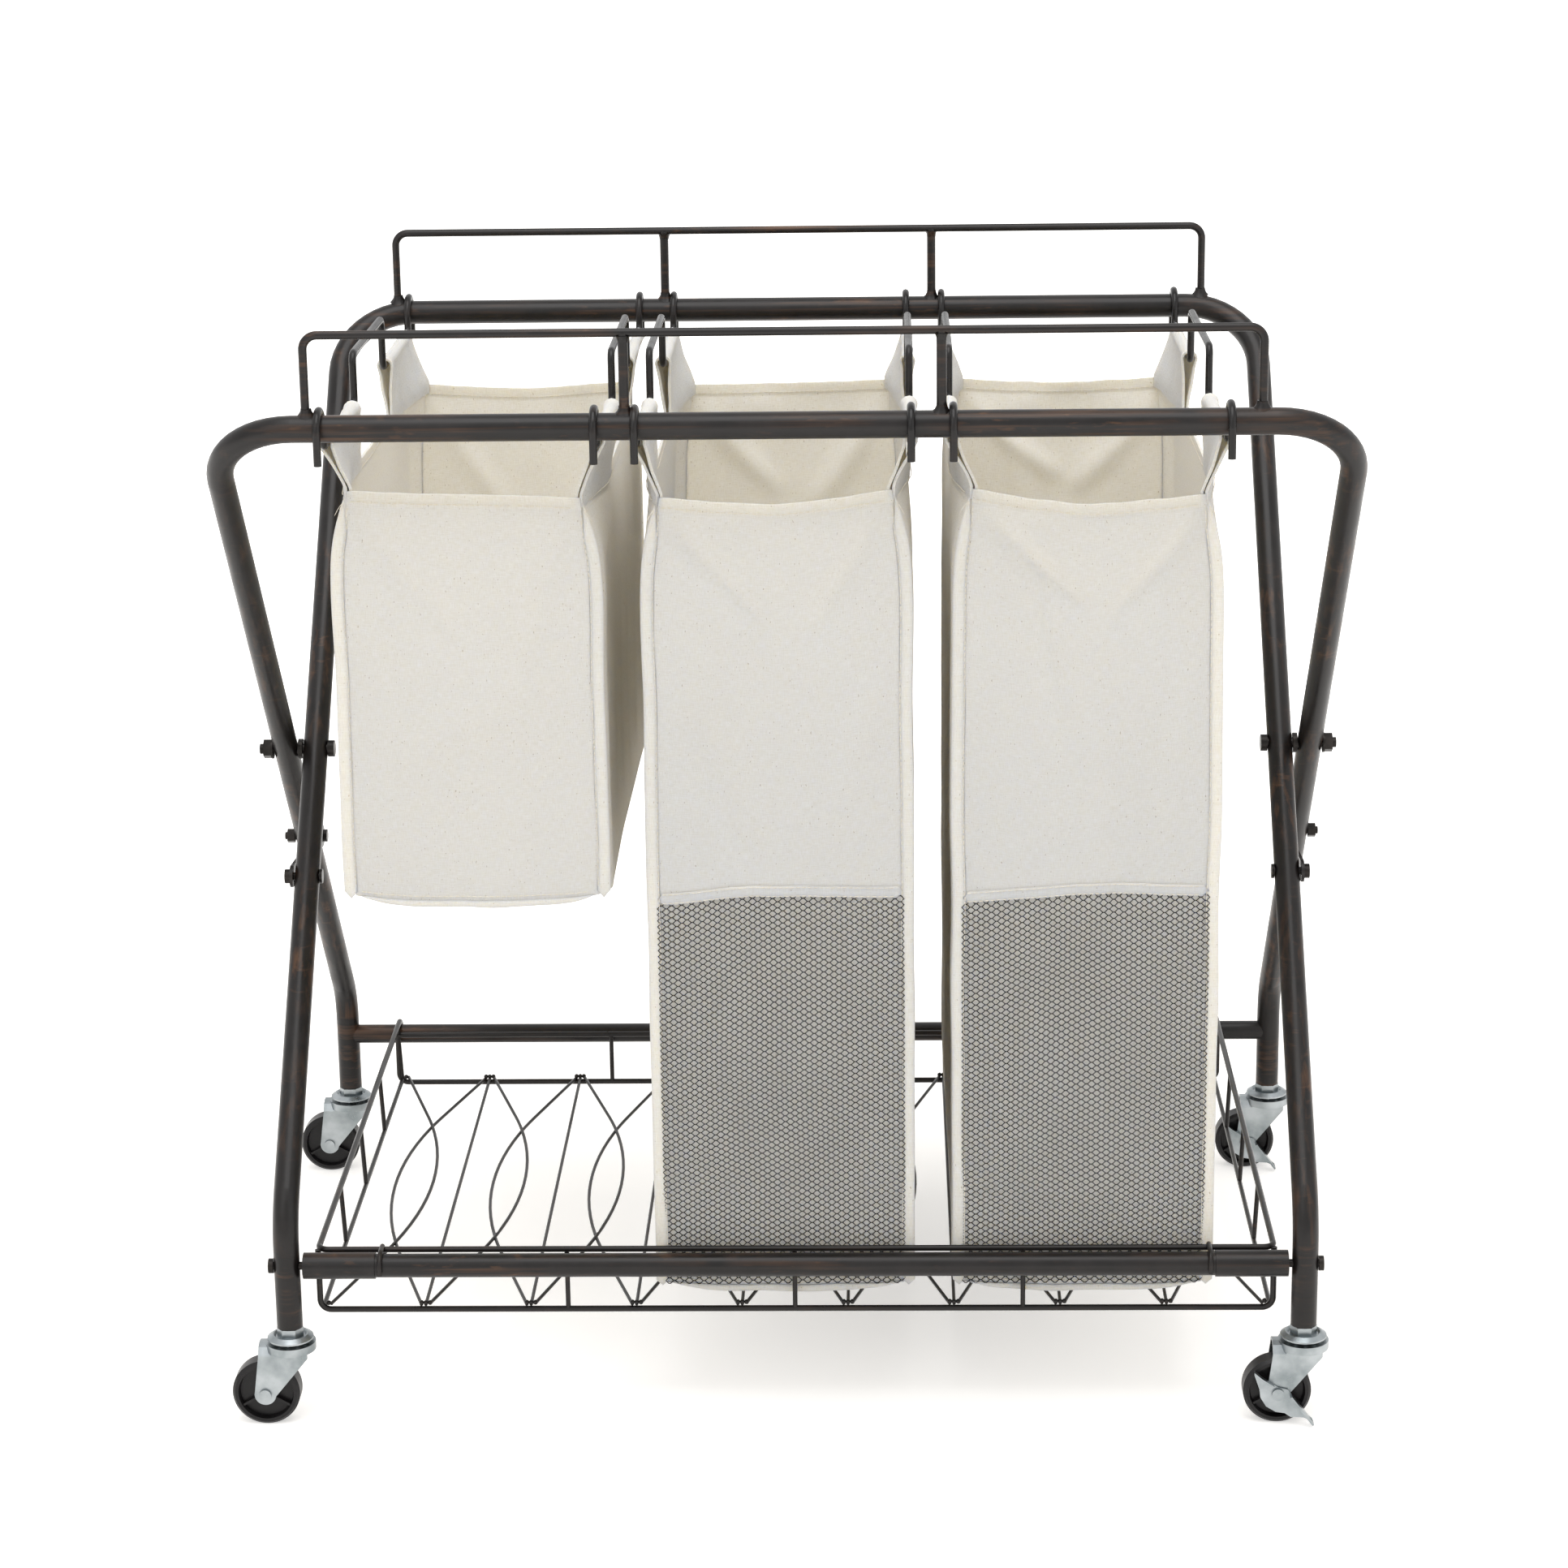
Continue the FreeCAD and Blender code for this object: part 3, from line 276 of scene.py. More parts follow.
def canvas_material(name, pale, deep, fleck):
    """Unbleached cotton canvas, thin enough to let some light through."""
    material, tree, shader, weave = new_material(name, WEAVE, "UV")
    threads = ranged(tree, weave.outputs["Threads"], 0.36, 0.64)
    body = mixed(tree, threads, deep, pale)
    slubbed = mixed(tree, ranged(tree, weave.outputs["Slubs"], 0.0, 1.0, 0.0, 0.35), body, pale)
    flecked = mixed(tree, ranged(tree, weave.outputs["Flecks"], 0.0, 1.0, 0.0, 0.55), slubbed,
                    fleck)
    tree.links.new(flecked, shader.inputs["Base Color"])
    tree.links.new(ranged(tree, weave.outputs["Threads"], 0.3, 0.7, 0.96, 0.84),
                   shader.inputs["Roughness"])
    shader.inputs["Specular IOR Level"].default_value = 0.25
    shader.inputs["Sheen Weight"].default_value = 0.12
    shader.inputs["Sheen Roughness"].default_value = 0.5
    shader.inputs["Subsurface Weight"].default_value = CANVAS_LIGHT
    shader.inputs["Subsurface Radius"].default_value = CANVAS_LIGHT_TINT
    shader.inputs["Subsurface Scale"].default_value = CANVAS_LIGHT_REACH
    link_bump(tree, shader, weave.outputs["Relief"], 0.5, 0.0004)
    return material


def bronze_material(name, amount, dark, copper, rough):
    """Dark bronze coat with copper rubbed through it."""
    material, tree, shader, rub = new_material(name, RUB)
    rub.inputs["Amount"].default_value = amount
    base = mixed(tree, ranged(tree, rub.outputs["Clouds"], 0.35, 0.65), dark,
                 tuple(1.7 * c for c in dark))
    coat = mixed(tree, rub.outputs["Streaks"], base, copper)
    tree.links.new(coat, shader.inputs["Base Color"])
    tree.links.new(ranged(tree, rub.outputs["Clouds"], 0.3, 0.7, rough - 0.05, rough + 0.07),
                   shader.inputs["Roughness"])
    shader.inputs["Metallic"].default_value = 0.2
    shader.inputs["Specular IOR Level"].default_value = 0.36
    shader.inputs["Coat Weight"].default_value = 0.05
    shader.inputs["Coat Roughness"].default_value = 0.25
    link_bump(tree, shader, rub.outputs["Grain"], 0.12, 0.0002)
    return material


def plain_material(name, low, high, metallic, rough_low, rough_high, cloud_scale=60.0,
                   grain_scale=1500.0, bump=0.1):
    """Plated metal or moulded plastic with a cloudy colour and a fine grain."""
    material, tree, shader, grain = new_material(name, GRAIN)
    grain.inputs["Cloud Scale"].default_value = cloud_scale
    grain.inputs["Grain Scale"].default_value = grain_scale
    clouds = ranged(tree, grain.outputs["Clouds"], 0.35, 0.65)
    tree.links.new(mixed(tree, clouds, low, high), shader.inputs["Base Color"])
    tree.links.new(ranged(tree, grain.outputs["Clouds"], 0.3, 0.7, rough_low, rough_high),
                   shader.inputs["Roughness"])
    shader.inputs["Metallic"].default_value = metallic
    shader.inputs["Specular IOR Level"].default_value = 0.3
    link_bump(tree, shader, grain.outputs["Grain"], bump, 0.0002)
    return material


BRONZE = bronze_material("bronze coat", 0.60, (0.0085, 0.0072, 0.0070), (0.130, 0.062, 0.030), 0.34)
HANGER = bronze_material("hanger coat", 0.18, (0.0080, 0.0072, 0.0072), (0.080, 0.046, 0.030), 0.28)
SHELF = bronze_material("shelf coat", 0.34, (0.0085, 0.0072, 0.0068), (0.100, 0.052, 0.028), 0.32)
BLACK_METAL = plain_material("black bolts", (0.012, 0.011, 0.010), (0.030, 0.026, 0.024), 0.7,
                             0.28, 0.42)
ZINC = plain_material("zinc plate", (0.24, 0.27, 0.28), (0.44, 0.47, 0.485), 1.0, 0.26, 0.42, 45.0)
WHEEL = plain_material("wheel plastic", (0.006, 0.0055, 0.006), (0.012, 0.011, 0.012), 0.0,
                       0.30, 0.42, 90.0, 900.0, 0.2)
PLUG = plain_material("plug plastic", (0.010, 0.009, 0.009), (0.016, 0.015, 0.014), 0.0,
                      0.42, 0.55, 90.0, 900.0, 0.2)
NET = plain_material("net yarn", (0.006, 0.0055, 0.005), (0.016, 0.015, 0.014), 0.0,
                     0.62, 0.80, 400.0, 2500.0, 0.3)
CANVAS = canvas_material("canvas", (0.875, 0.850, 0.800), (0.770, 0.733, 0.655), (0.34, 0.26, 0.17))
TAPE = canvas_material("seam canvas", (0.880, 0.858, 0.810), (0.800, 0.765, 0.690),
                       (0.42, 0.33, 0.23))
THREAD = plain_material("sewing thread", (0.74, 0.69, 0.59), (0.86, 0.82, 0.73), 0.0, 0.7, 0.85,
                        500.0, 3000.0, 0.3)

NODE_FINISHES = (
    ("outer_frame_tube", BRONZE), ("inner_frame_tube", BRONZE), ("rear_crossbar", BRONZE),
    ("front_crossbar", BRONZE), ("front_guard_rail", BRONZE), ("rear_guard_rail", BRONZE),
    ("lock_bar_left", BRONZE), ("lock_bar_right", BRONZE),
    ("shelf_rim", SHELF), ("shelf_floor_wires", SHELF), ("hanger_", HANGER),
    ("leg_end_plugs", PLUG), ("caster_stem", ZINC), ("swivel_bearing", ZINC),
    ("caster_fork", ZINC), ("wheel_axle", ZINC), ("brake_lever", ZINC), ("wheel_", WHEEL),
    ("crossbar_screws", BLACK_METAL), ("pivot_", BLACK_METAL), ("lock_bar_", BLACK_METAL),
    ("bag_", CANVAS), ("mesh_pocket", NET),
)


def finish_nodes():
    """Gives every carried-over part its finish, by the first name that fits."""
    for node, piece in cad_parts.items():
        material = next(m for start, m in NODE_FINISHES if node.startswith(start))
        for slot in piece.material_slots:
            slot.material = material
        if not piece.material_slots:
            piece.data.materials.append(material)


# ---------------------------------------------------------------- shaping helpers

def smooth(x):
    """0 below 0, 1 above 1 and an even curve between."""
    x = min(1.0, max(0.0, x))
    return x * x * (3.0 - 2.0 * x)


def blend(low, high, share):
    """From low, at a share of 0, to high, at 1."""
    return low + (high - low) * share


def ripple(x, y, seed):
    """Smooth unevenness from -1 to 1 that is the same in each run."""
    return noise.noise(Vector((x, y, seed)))


def select_only(*pieces):
    """Selects these pieces alone, the first of them active."""
    bpy.ops.object.select_all(action="DESELECT")
    for piece in pieces:
        piece.select_set(True)
    bpy.context.view_layer.objects.active = pieces[0]


def weld_doubles(piece, distance=0.00002, turn_out=False):
    """Merges what lies together, and turns the faces outwards where asked."""
    select_only(piece)
    bpy.ops.object.mode_set(mode="EDIT")
    bpy.ops.mesh.select_all(action="SELECT")
    bpy.ops.mesh.remove_doubles(threshold=distance)
    if turn_out:
        bpy.ops.mesh.normals_make_consistent(inside=False)
    bpy.ops.object.mode_set(mode="OBJECT")


def joined(name, pieces):
    """Several pieces made one."""
    select_only(*pieces)
    if len(pieces) > 1:
        bpy.ops.object.join()
    piece = bpy.context.object
    piece.name = name
    return piece


def settle(piece, material, body):
    """Puts a finished piece at the origin, gives it its finish and lets it ride on its body."""
    select_only(piece)
    bpy.ops.object.transform_apply(location=True, rotation=True, scale=True)
    piece.data.materials.clear()
    piece.data.materials.append(material)
    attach(piece, body)
    return piece


def thicken(piece, thickness, group=None, thin=1.0):
    """Gives a sheet its thickness, half to each side, and applies it."""
    select_only(piece)
    wall = piece.modifiers.new("thickness", "SOLIDIFY")
    wall.thickness = thickness
    wall.offset = 0.0
    if group:
        wall.vertex_group = group
        wall.thickness_vertex_group = thin
    bpy.ops.object.modifier_apply(modifier=wall.name)


def cloth_grid(name, columns, rows, place, lay):
    """A grid whose points go to place(column, row); lay gives the cloth's own map in metres."""
    bpy.ops.object.select_all(action="DESELECT")
    bpy.ops.mesh.primitive_grid_add(x_subdivisions=columns, y_subdivisions=rows, size=1.0)
    piece = bpy.context.object
    piece.name = name
    for loop in piece.data.uv_layers[0].data:
        loop.uv = lay(round(loop.uv[0] * columns), round(loop.uv[1] * rows))
    for vertex in piece.data.vertices:
        column = round((vertex.co.x + 0.5) * columns)
        row = round((vertex.co.y + 0.5) * rows)
        vertex.co = place(column, row)
    return piece


def flat_tube(name, rows, frame_at, sides=12):
    """A strip of oval section closed at both ends; frame_at(share) gives middle and half axes."""
    length = (Vector(frame_at(1.0)[0]) - Vector(frame_at(0.0)[0])).length

    def place(column, row):
        share = row / rows
        middle, wide, thick = frame_at(share)
        turn = math.tau * column / sides
        if row in (0, rows):
            return middle
        return middle + wide * math.cos(turn) + thick * math.sin(turn)

    def lay(column, row):
        return (0.02 * column / sides, length * row / rows)

    strip = cloth_grid(name, sides, rows, place, lay)
    weld_doubles(strip, turn_out=True)
    return strip


# ---------------------------------------------------------------- canvas bags

MOUTH = 0.691             # height that the bags' walls are measured down from
WIRE_HALF = 0.095         # from a bag's middle to each hanger wire
WIRE_HEIGHT = 0.732
WALL_PAST_WIRE = 0.0008
CASING_START = 0.0945     # from the middle to the inner end of each casing
CASING_RADIUS = 0.0042    # where it goes over the wire
CASING_WRAP = math.radians(118.0)
CASING_LEG = 0.34         # share of its length in each leg
CASING_SEWN = 0.0070      # how far it reaches down over the hem
CLOTH = 0.0022            # hemmed edge; the rest of the cloth is half as thick
CLOTH_SHARE = 0.5
HEM = 0.0088
# Rows of points below the mouth, close together over the hem and even from there on.
HEM_ROWS = (0.0, 0.0012, 0.0030, 0.0055, 0.0078, 0.0086, 0.0094, 0.0110, 0.0140, 0.0190)
EVEN_ROWS_FROM = 0.0245
SEAM = 0.0085             # seam allowance that stands out past the sides
FACE_SETBACK = 0.0024     # front and back cloth behind the rim of the bag
PINCH = 0.0125            # how far the hem is drawn in at its corners
PINCH_MIDDLE = 0.0030
PINCH_DROP = 0.030        # how far down, and along the sides, that reaches
PINCH_RUN = 0.11
GRID_STEP = 0.006

BAGS = {
    "left": {"front_hem": (0.6985, 0.6955, 0.6925), "rear_hem": (0.6925, 0.6885, 0.6935),
             "seed": 3.1, "drop": 0.0050},
    "middle": {"front_hem": (0.6920, 0.6865, 0.6965), "rear_hem": (0.6900, 0.6910, 0.6930),
               "seed": 11.7, "drop": 0.0030},
    "right": {"front_hem": (0.6965, 0.6850, 0.6915), "rear_hem": (0.6930, 0.6895, 0.6930),
              "seed": 23.9, "drop": 0.0030},
}
# Creases: start and end as shares of half the width and metres below the mouth, depth and spread.
CREASES = {
    "left": (((-0.9, 0.02), (-0.1, 0.11), -0.0016, 0.010),
             ((0.85, 0.03), (0.35, 0.15), -0.0018, 0.011),
             ((-0.5, 0.19), (0.45, 0.13), 0.0014, 0.014)),
    "middle": (((-0.95, 0.015), (-0.15, 0.085), -0.0022, 0.009),
               ((0.95, 0.015), (0.25, 0.10), -0.0024, 0.010),
               ((-0.7, 0.16), (-0.2, 0.27), -0.0018, 0.012),
               ((0.7, 0.13), (0.35, 0.25), 0.0016, 0.012)),
    "right": (((-0.95, 0.015), (-0.05, 0.075), -0.0028, 0.008),
              ((0.95, 0.02), (0.2, 0.085), -0.0026, 0.009),
              ((-0.45, 0.05), (-0.15, 0.16), -0.0016, 0.010),
              ((0.75, 0.12), (0.5, 0.26), 0.0016, 0.013)),
}
CREASE_DEPTH = 2.5        # what each crease's depth is multiplied by
TALL_SHELF_TOP = 0.155    # below this the front stays behind the shelf's wires


class Bag:
    """One bag's sizes, read from its solid."""

    def __init__(self, name):
        low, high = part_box("bag_" + name)
        facts = BAGS[name]
        self.name = name
        self.body = f"bag_{name}_set"
        self.middle = (low[0] + high[0]) / 2.0
        self.half = WIRE_HALF + WALL_PAST_WIRE
        self.depth = high[1]
        self.bottom = low[2]
        self.front_hem = facts["front_hem"]
        self.rear_hem = facts["rear_hem"]
        self.seed = facts["seed"]
        self.drop = facts["drop"]
        self.tall = self.bottom < 0.2
        self.height = MOUTH - self.bottom

    def half_width(self, y, down):
        """From the bag's middle to the cloth's side line, drawn in at the four hem corners."""
        drawn = math.exp(-(down / PINCH_DROP) ** 1.5)
        inward = smooth((self.depth - abs(y)) / PINCH_RUN)
        wander = 0.0012 * ripple(down * 14.0, y * 6.0, self.seed)
        return self.half - drawn * blend(PINCH, PINCH_MIDDLE, inward) + wander

    def hem_height(self, side, share):
        """Height of the mouth; share goes from -1 to 1 along the side."""
        if side in ("front", "back"):
            left, middle, right = self.front_hem if side == "front" else self.rear_hem
            if side == "back":
                share = -share
            end = left if share < 0 else right
            wave = 0.0007 * ripple(share * 5.0, 4.0, self.seed)
            return blend(middle, end, abs(share) ** 1.35) + wave
        front, rear = (self.front_hem, self.rear_hem)
        near, far = (front[2], rear[2]) if side == "right" else (rear[0], front[0])
        level = blend(near, far, (share + 1.0) / 2.0)
        return level - 0.0045 * (1.0 - share ** 2) + 0.0008 * ripple(share * 6.0, 9.0, self.seed)

    def foot_height(self, side, share):
        """Height of the bottom seam."""
        lift = self.drop * abs(share) ** 2.5
        wave = 0.0012 * ripple(share * 2.6, 17.0, self.seed) * (1.0 - share ** 2)
        return self.bottom + 0.0005 + lift + wave

    def swell(self, share, down, z):
        """How far the front or back cloth stands out from flat."""
        edge = 1.0 - share ** 4
        value = 0.0060 * ripple(share * 1.5, z * 7.0, self.seed) * edge
        value += 0.0011 * ripple(share * 6.0, z * 30.0, self.seed + 1.0) * edge
        for (sx, sd), (ex, ed), depth, spread in CREASES[self.name]:
            start = Vector((sx * self.half, sd))
            run = Vector((ex * self.half, ed)) - start
            here = Vector((share * self.half, down)) - start
            along = here.dot(run) / run.length_squared
            aside = (here - run * min(1.0, max(0.0, along))).length
            fade = smooth(min(along + 0.25, 1.25 - along) / 0.5)
            value += CREASE_DEPTH * depth * math.exp(-(aside / spread) ** 2) * fade * edge
        value *= smooth(down / 0.02)
        if self.tall:
            low = smooth((z - TALL_SHELF_TOP) / 0.06)
            return value * blend(0.3, 1.0, low) - 0.0004 * (1.0 - low)
        return value

    def buckle(self, y, down, z, side_sign):
        """Upright folds in the sides."""
        top = smooth((down - 0.02) / 0.16)
        foot = smooth((z - self.bottom) / 0.05)
        edge = smooth((self.depth - abs(y)) / 0.05)
        lean = 0.15 * ripple(z * 3.0, side_sign * 2.0, self.seed)
        folds = math.sin((y + lean * 0.12) * 78.0 + side_sign) * 0.6
        folds += ripple(y * 17.0 + lean, z * 1.7, self.seed + 5.0 * side_sign)
        calm = 0.35 + 0.65 * smooth((y + 0.12) / 0.2)
        hollow = -0.0025 * (1.0 - (y / self.depth) ** 2)
        return (0.0021 * folds * calm * foot + hollow) * top * edge

    def point(self, side, share, down_share):
        """A point of the wall: along the side from -1 to 1, and from mouth to foot."""
        top = self.hem_height(side, share)
        foot = self.foot_height(side, share)
        z = blend(top, foot, down_share)
        down = self.height * down_share
        if side in ("front", "back"):
            sign = -1.0 if side == "front" else 1.0
            y = sign * (self.depth - FACE_SETBACK)
            corner = self.half_width(y, down) - self.allowance(down)
            x = self.middle - sign * share * corner
            return Vector((x, y + sign * self.swell(-sign * share, down, z), z))
        sign = 1.0 if side == "right" else -1.0
        y = sign * share * (self.depth - FACE_SETBACK)
        inset = self.allowance(down) * (1.0 - smooth((self.depth - FACE_SETBACK - abs(y)) / 0.022))
        x = self.half_width(y, down) - inset + self.buckle(y, down, z, sign)
        return Vector((self.middle + sign * x, y, z))

    def allowance(self, down):
        """Width of the seam allowance, narrower at the mouth."""
        return SEAM * (0.35 + 0.65 * smooth(down / 0.035))


def even_steps(low, high, step):
    """Even places from low up to, and without, high."""
    count = max(2, round((high - low) / step))
    return [blend(low, high, n / count) for n in range(count)]


SIDE_ORDER = ("front", "right", "back", "left")


def bag_cloth(bag):
    """The lofted shell of a bag: four hemmed walls and a sagging bottom, in one cloth."""
    downs = [*HEM_ROWS, *even_steps(EVEN_ROWS_FROM, bag.height, GRID_STEP), bag.height]
    rows = len(downs) - 1
    stops = []
    for side in SIDE_ORDER:
        length = 2.0 * (bag.half if side in ("front", "back") else bag.depth)
        fine = [-1.0, -0.985, -0.96] if side in ("front", "back") else [-1.0, -0.99, -0.975, -0.955]
        middle = even_steps(fine[-1] + 0.03, -fine[-1], 2.0 * GRID_STEP / length)
        run = fine + middle + [-s for s in reversed(fine[1:])]
        stops += [(side, share) for share in run]
    stops.append(("left", 1.0))
    columns = len(stops) - 1
    walks = {"front": 0.0, "right": 2.0 * bag.half, "back": 2.0 * (bag.half + bag.depth),
             "left": 2.0 * (2.0 * bag.half + bag.depth)}

    def place(column, row):
        side, share = stops[column]
        return bag.point(side, share, downs[rows - row] / bag.height)

    def lay(column, row):
        side, share = stops[column]
        half = bag.half if side in ("front", "back") else bag.depth
        return (walks[side] + (share + 1.0) * half, bag.height - downs[rows - row])

    walls = cloth_grid("bag_walls", columns, rows, place, lay)
    hem_top = {n for n, v in enumerate(walls.data.vertices)
               if downs[rows - n // (columns + 1)] <= HEM}
    group = walls.vertex_groups.new(name="hem")
    for n in range(len(walls.data.vertices)):
        group.add([n], 1.0 if n in hem_top else 0.0, "REPLACE")

    fronts = [share for side, share in stops if side == "front"] + [1.0]
    sides = [share for side, share in stops if side == "right"] + [1.0]
    corners = [bag.point("front", -1.0, 1.0), bag.point("front", 1.0, 1.0),
               bag.point("back", 1.0, 1.0), bag.point("back", -1.0, 1.0)]

    def floor_place(column, row):
        u, v = (fronts[column] + 1.0) / 2.0, (sides[row] + 1.0) / 2.0
        across = bag.point("front", fronts[column], 1.0) * (1.0 - v)
        across += bag.point("back", -fronts[column], 1.0) * v
        along = bag.point("left", -sides[row], 1.0) * (1.0 - u)
        along += bag.point("right", sides[row], 1.0) * u
        square = corners[0] * (1.0 - u) * (1.0 - v) + corners[1] * u * (1.0 - v)
        square += corners[2] * (1.0 - u) * v + corners[3] * u * v
        spot = across + along - square
        hang = math.sin(math.pi * u) * math.sin(math.pi * v)
        spot.z += (0.0012 * ripple(u * 3.0, v * 6.0, bag.seed + 8.0) - 0.0012) * hang
        return spot

    def floor_lay(column, row):
        return (fronts[column] * bag.half, sides[row] * bag.depth)

    floor = cloth_grid("bag_floor", len(fronts) - 1, len(sides) - 1, floor_place, floor_lay)
    floor_group = floor.vertex_groups.new(name="hem")
    floor_group.add(range(len(floor.data.vertices)), 0.0, "REPLACE")
    cloth = joined(f"bag_{bag.name}_cloth", [walls, floor])
    weld_doubles(cloth, 0.0002, turn_out=True)
    thicken(cloth, CLOTH, "hem", CLOTH_SHARE)
    return cloth


def bag_casings(bag):
    """The four tabs that go up round the hanger wires, each sewn over the side's hem."""
    turns = 26
    runs = 30
    length = bag.depth - FACE_SETBACK - CASING_START
    pieces = []
    for side in (-1.0, 1.0):
        for end in (-1.0, 1.0):
            def place(column, row, side=side, end=end):
                share = row / runs
                y = end * blend(CASING_START, bag.depth - FACE_SETBACK, share)
                side_name = "right" if side > 0 else "left"
                hem = bag.point(side_name, side * y / (bag.depth - FACE_SETBACK), 0.0)
                inner_flare = math.exp(-share * length / 0.016)
                outer_flare = math.exp(-(1.0 - share) * length / 0.010)
                radius = CASING_RADIUS + 0.0013 * inner_flare + 0.0003 * outer_flare
                wire = Vector((bag.middle + side * WIRE_HALF, y, WIRE_HEIGHT - 0.0008 * inner_flare))
                turn = column / turns
                layer = -1.0 if turn < 0.5 else 1.0
                foot = Vector((hem.x + side * layer * 0.0016, y, hem.z - CASING_SEWN))
                over = (turn - CASING_LEG) / (1.0 - 2.0 * CASING_LEG)
                angle = blend(-CASING_WRAP, CASING_WRAP, min(1.0, max(0.0, over)))
                top = wire + Vector((side * math.sin(angle), 0.0, math.cos(angle))) * radius
                if CASING_LEG <= turn <= 1.0 - CASING_LEG:
                    spot = top
                else:
                    up = (turn if turn < 0.5 else 1.0 - turn) / CASING_LEG
                    neck = Vector((hem.x + side * layer * 0.0017, y, hem.z + 0.0030))
                    if up < 0.25:
                        spot = foot.lerp(neck, up / 0.25)
                    else:
                        rise = (up - 0.25) / 0.75
                        spot = neck.lerp(top, rise)
                        belly = math.sin(math.pi * rise) * (0.0008 * inner_flare - 0.0010)
                        spot.x += side * layer * belly
                crumple = 0.0010 * ripple(y * 55.0, spot.z * 60.0 + layer, bag.seed + side + end)
                spot.x += crumple * (1.0 if turn not in (0.0, 1.0) else 0.3)
                slant = 0.0035 * (1.0 - share) * smooth((WIRE_HEIGHT - spot.z) / 0.04)
                spot.y += end * slant
                return spot

            def lay(column, row):
                return (0.1 * column / turns, length * row / runs)

            tab = cloth_grid("casing", turns, runs, place, lay)
            edges = tab.vertex_groups.new(name="hem")
            for n in range(len(tab.data.vertices)):
                share = (n // (turns + 1)) / runs
                near_end = min(share, 1.0 - share) * length < 0.006
                edges.add([n], 1.0 if near_end else 0.0, "REPLACE")
            thicken(tab, 0.0020, "hem", 0.5)
            pieces.append(tab)
    return joined(f"bag_{bag.name}_casings", pieces)


def seam_bands(bag):
    """The stitched seam allowances: down the four corners and along the bottom."""
    strips = []
    for sign in (-1.0, 1.0):
        side = "front" if sign < 0 else "back"
        for corner in (-1.0, 1.0):
            def upright(share, sign=sign, corner=corner, side=side):
                down = 0.004 + (bag.height - 0.001) * share
                wall = bag.point(side, -sign * corner, min(1.0, down / bag.height))
                y = sign * (bag.depth - FACE_SETBACK)
                outline = bag.half_width(y, down)
                inner = outline - bag.allowance(down) - 0.0012
                tuck = 1.0 - 0.75 * smooth(1.0 - down / 0.03)
                half = (outline - inner) / 2.0 * tuck
                middle = Vector((bag.middle + corner * (outline - half),
                                 y + sign * 0.0003, wall.z - 0.0026 * smooth((share - 0.98) / 0.02)))
                swing = 0.0009 * ripple(down * 22.0, corner, bag.seed + sign)
                return (middle, Vector((half, swing, 0.0)), Vector((0.0, sign * 0.0010, 0.0)))
            strips.append(flat_tube("seam", round(bag.height / GRID_STEP), upright))

        def level(share, sign=sign, side=side):
            along = blend(-0.97, 0.97, share)
            wall = bag.point(side, -sign * along, 1.0)
            depth = 0.0026 * (1.0 - abs(along) ** 5) * (1.0 + 0.25 * ripple(along * 3.0, sign, bag.seed))
            middle = wall + Vector((0.0, sign * 0.0006, 0.0006 - depth))
            return (middle, Vector((0.0, 0.0, depth)), Vector((0.0, sign * 0.0009, 0.0)))
        strips.append(flat_tube("seam", 48, level))
    return joined(f"bag_{bag.name}_seams", strips)


def stitch_row(points, pitch=0.0042, length=0.0029, thick=0.00042):
    """Stitches laid one after another along a line of points."""
    curve = bpy.data.curves.new("row", "CURVE")
    curve.dimensions = "3D"
    spline = curve.splines.new("POLY")
    spline.points.add(len(points) - 1)
    for place, spot in zip(spline.points, points):
        place.co = (*spot, 1.0)
    row = bpy.data.objects.new("row", curve)
    bpy.context.scene.collection.objects.link(row)
    run = sum((a - b).length for a, b in zip(points, points[1:]))
    bpy.ops.object.select_all(action="DESELECT")
    bpy.ops.mesh.primitive_cylinder_add(vertices=6, radius=thick, depth=length, end_fill_type="NGON",
                                        rotation=(0.0, math.pi / 2.0, 0.0),
                                        location=(length / 2.0, 0.0, 0.0))
    stitch = bpy.context.object
    bpy.ops.object.transform_apply(location=True, rotation=True, scale=True)
    bpy.ops.object.mode_set(mode="EDIT")
    bpy.ops.mesh.select_all(action="SELECT")
    bpy.ops.mesh.bevel(offset=thick * 0.5, segments=1, affect="EDGES")
    bpy.ops.object.mode_set(mode="OBJECT")
    repeat = stitch.modifiers.new("row", "ARRAY")
    repeat.use_relative_offset = False
    repeat.use_constant_offset = True
    repeat.constant_offset_displace = (pitch, 0.0, 0.0)
    repeat.count = max(2, int(run / pitch))
    follow = stitch.modifiers.new("follow", "CURVE")
    follow.object = row
    follow.deform_axis = "POS_X"
    for modifier in ("row", "follow"):
        bpy.ops.object.modifier_apply(modifier=modifier)
    bpy.data.objects.remove(row, do_unlink=True)
    return stitch


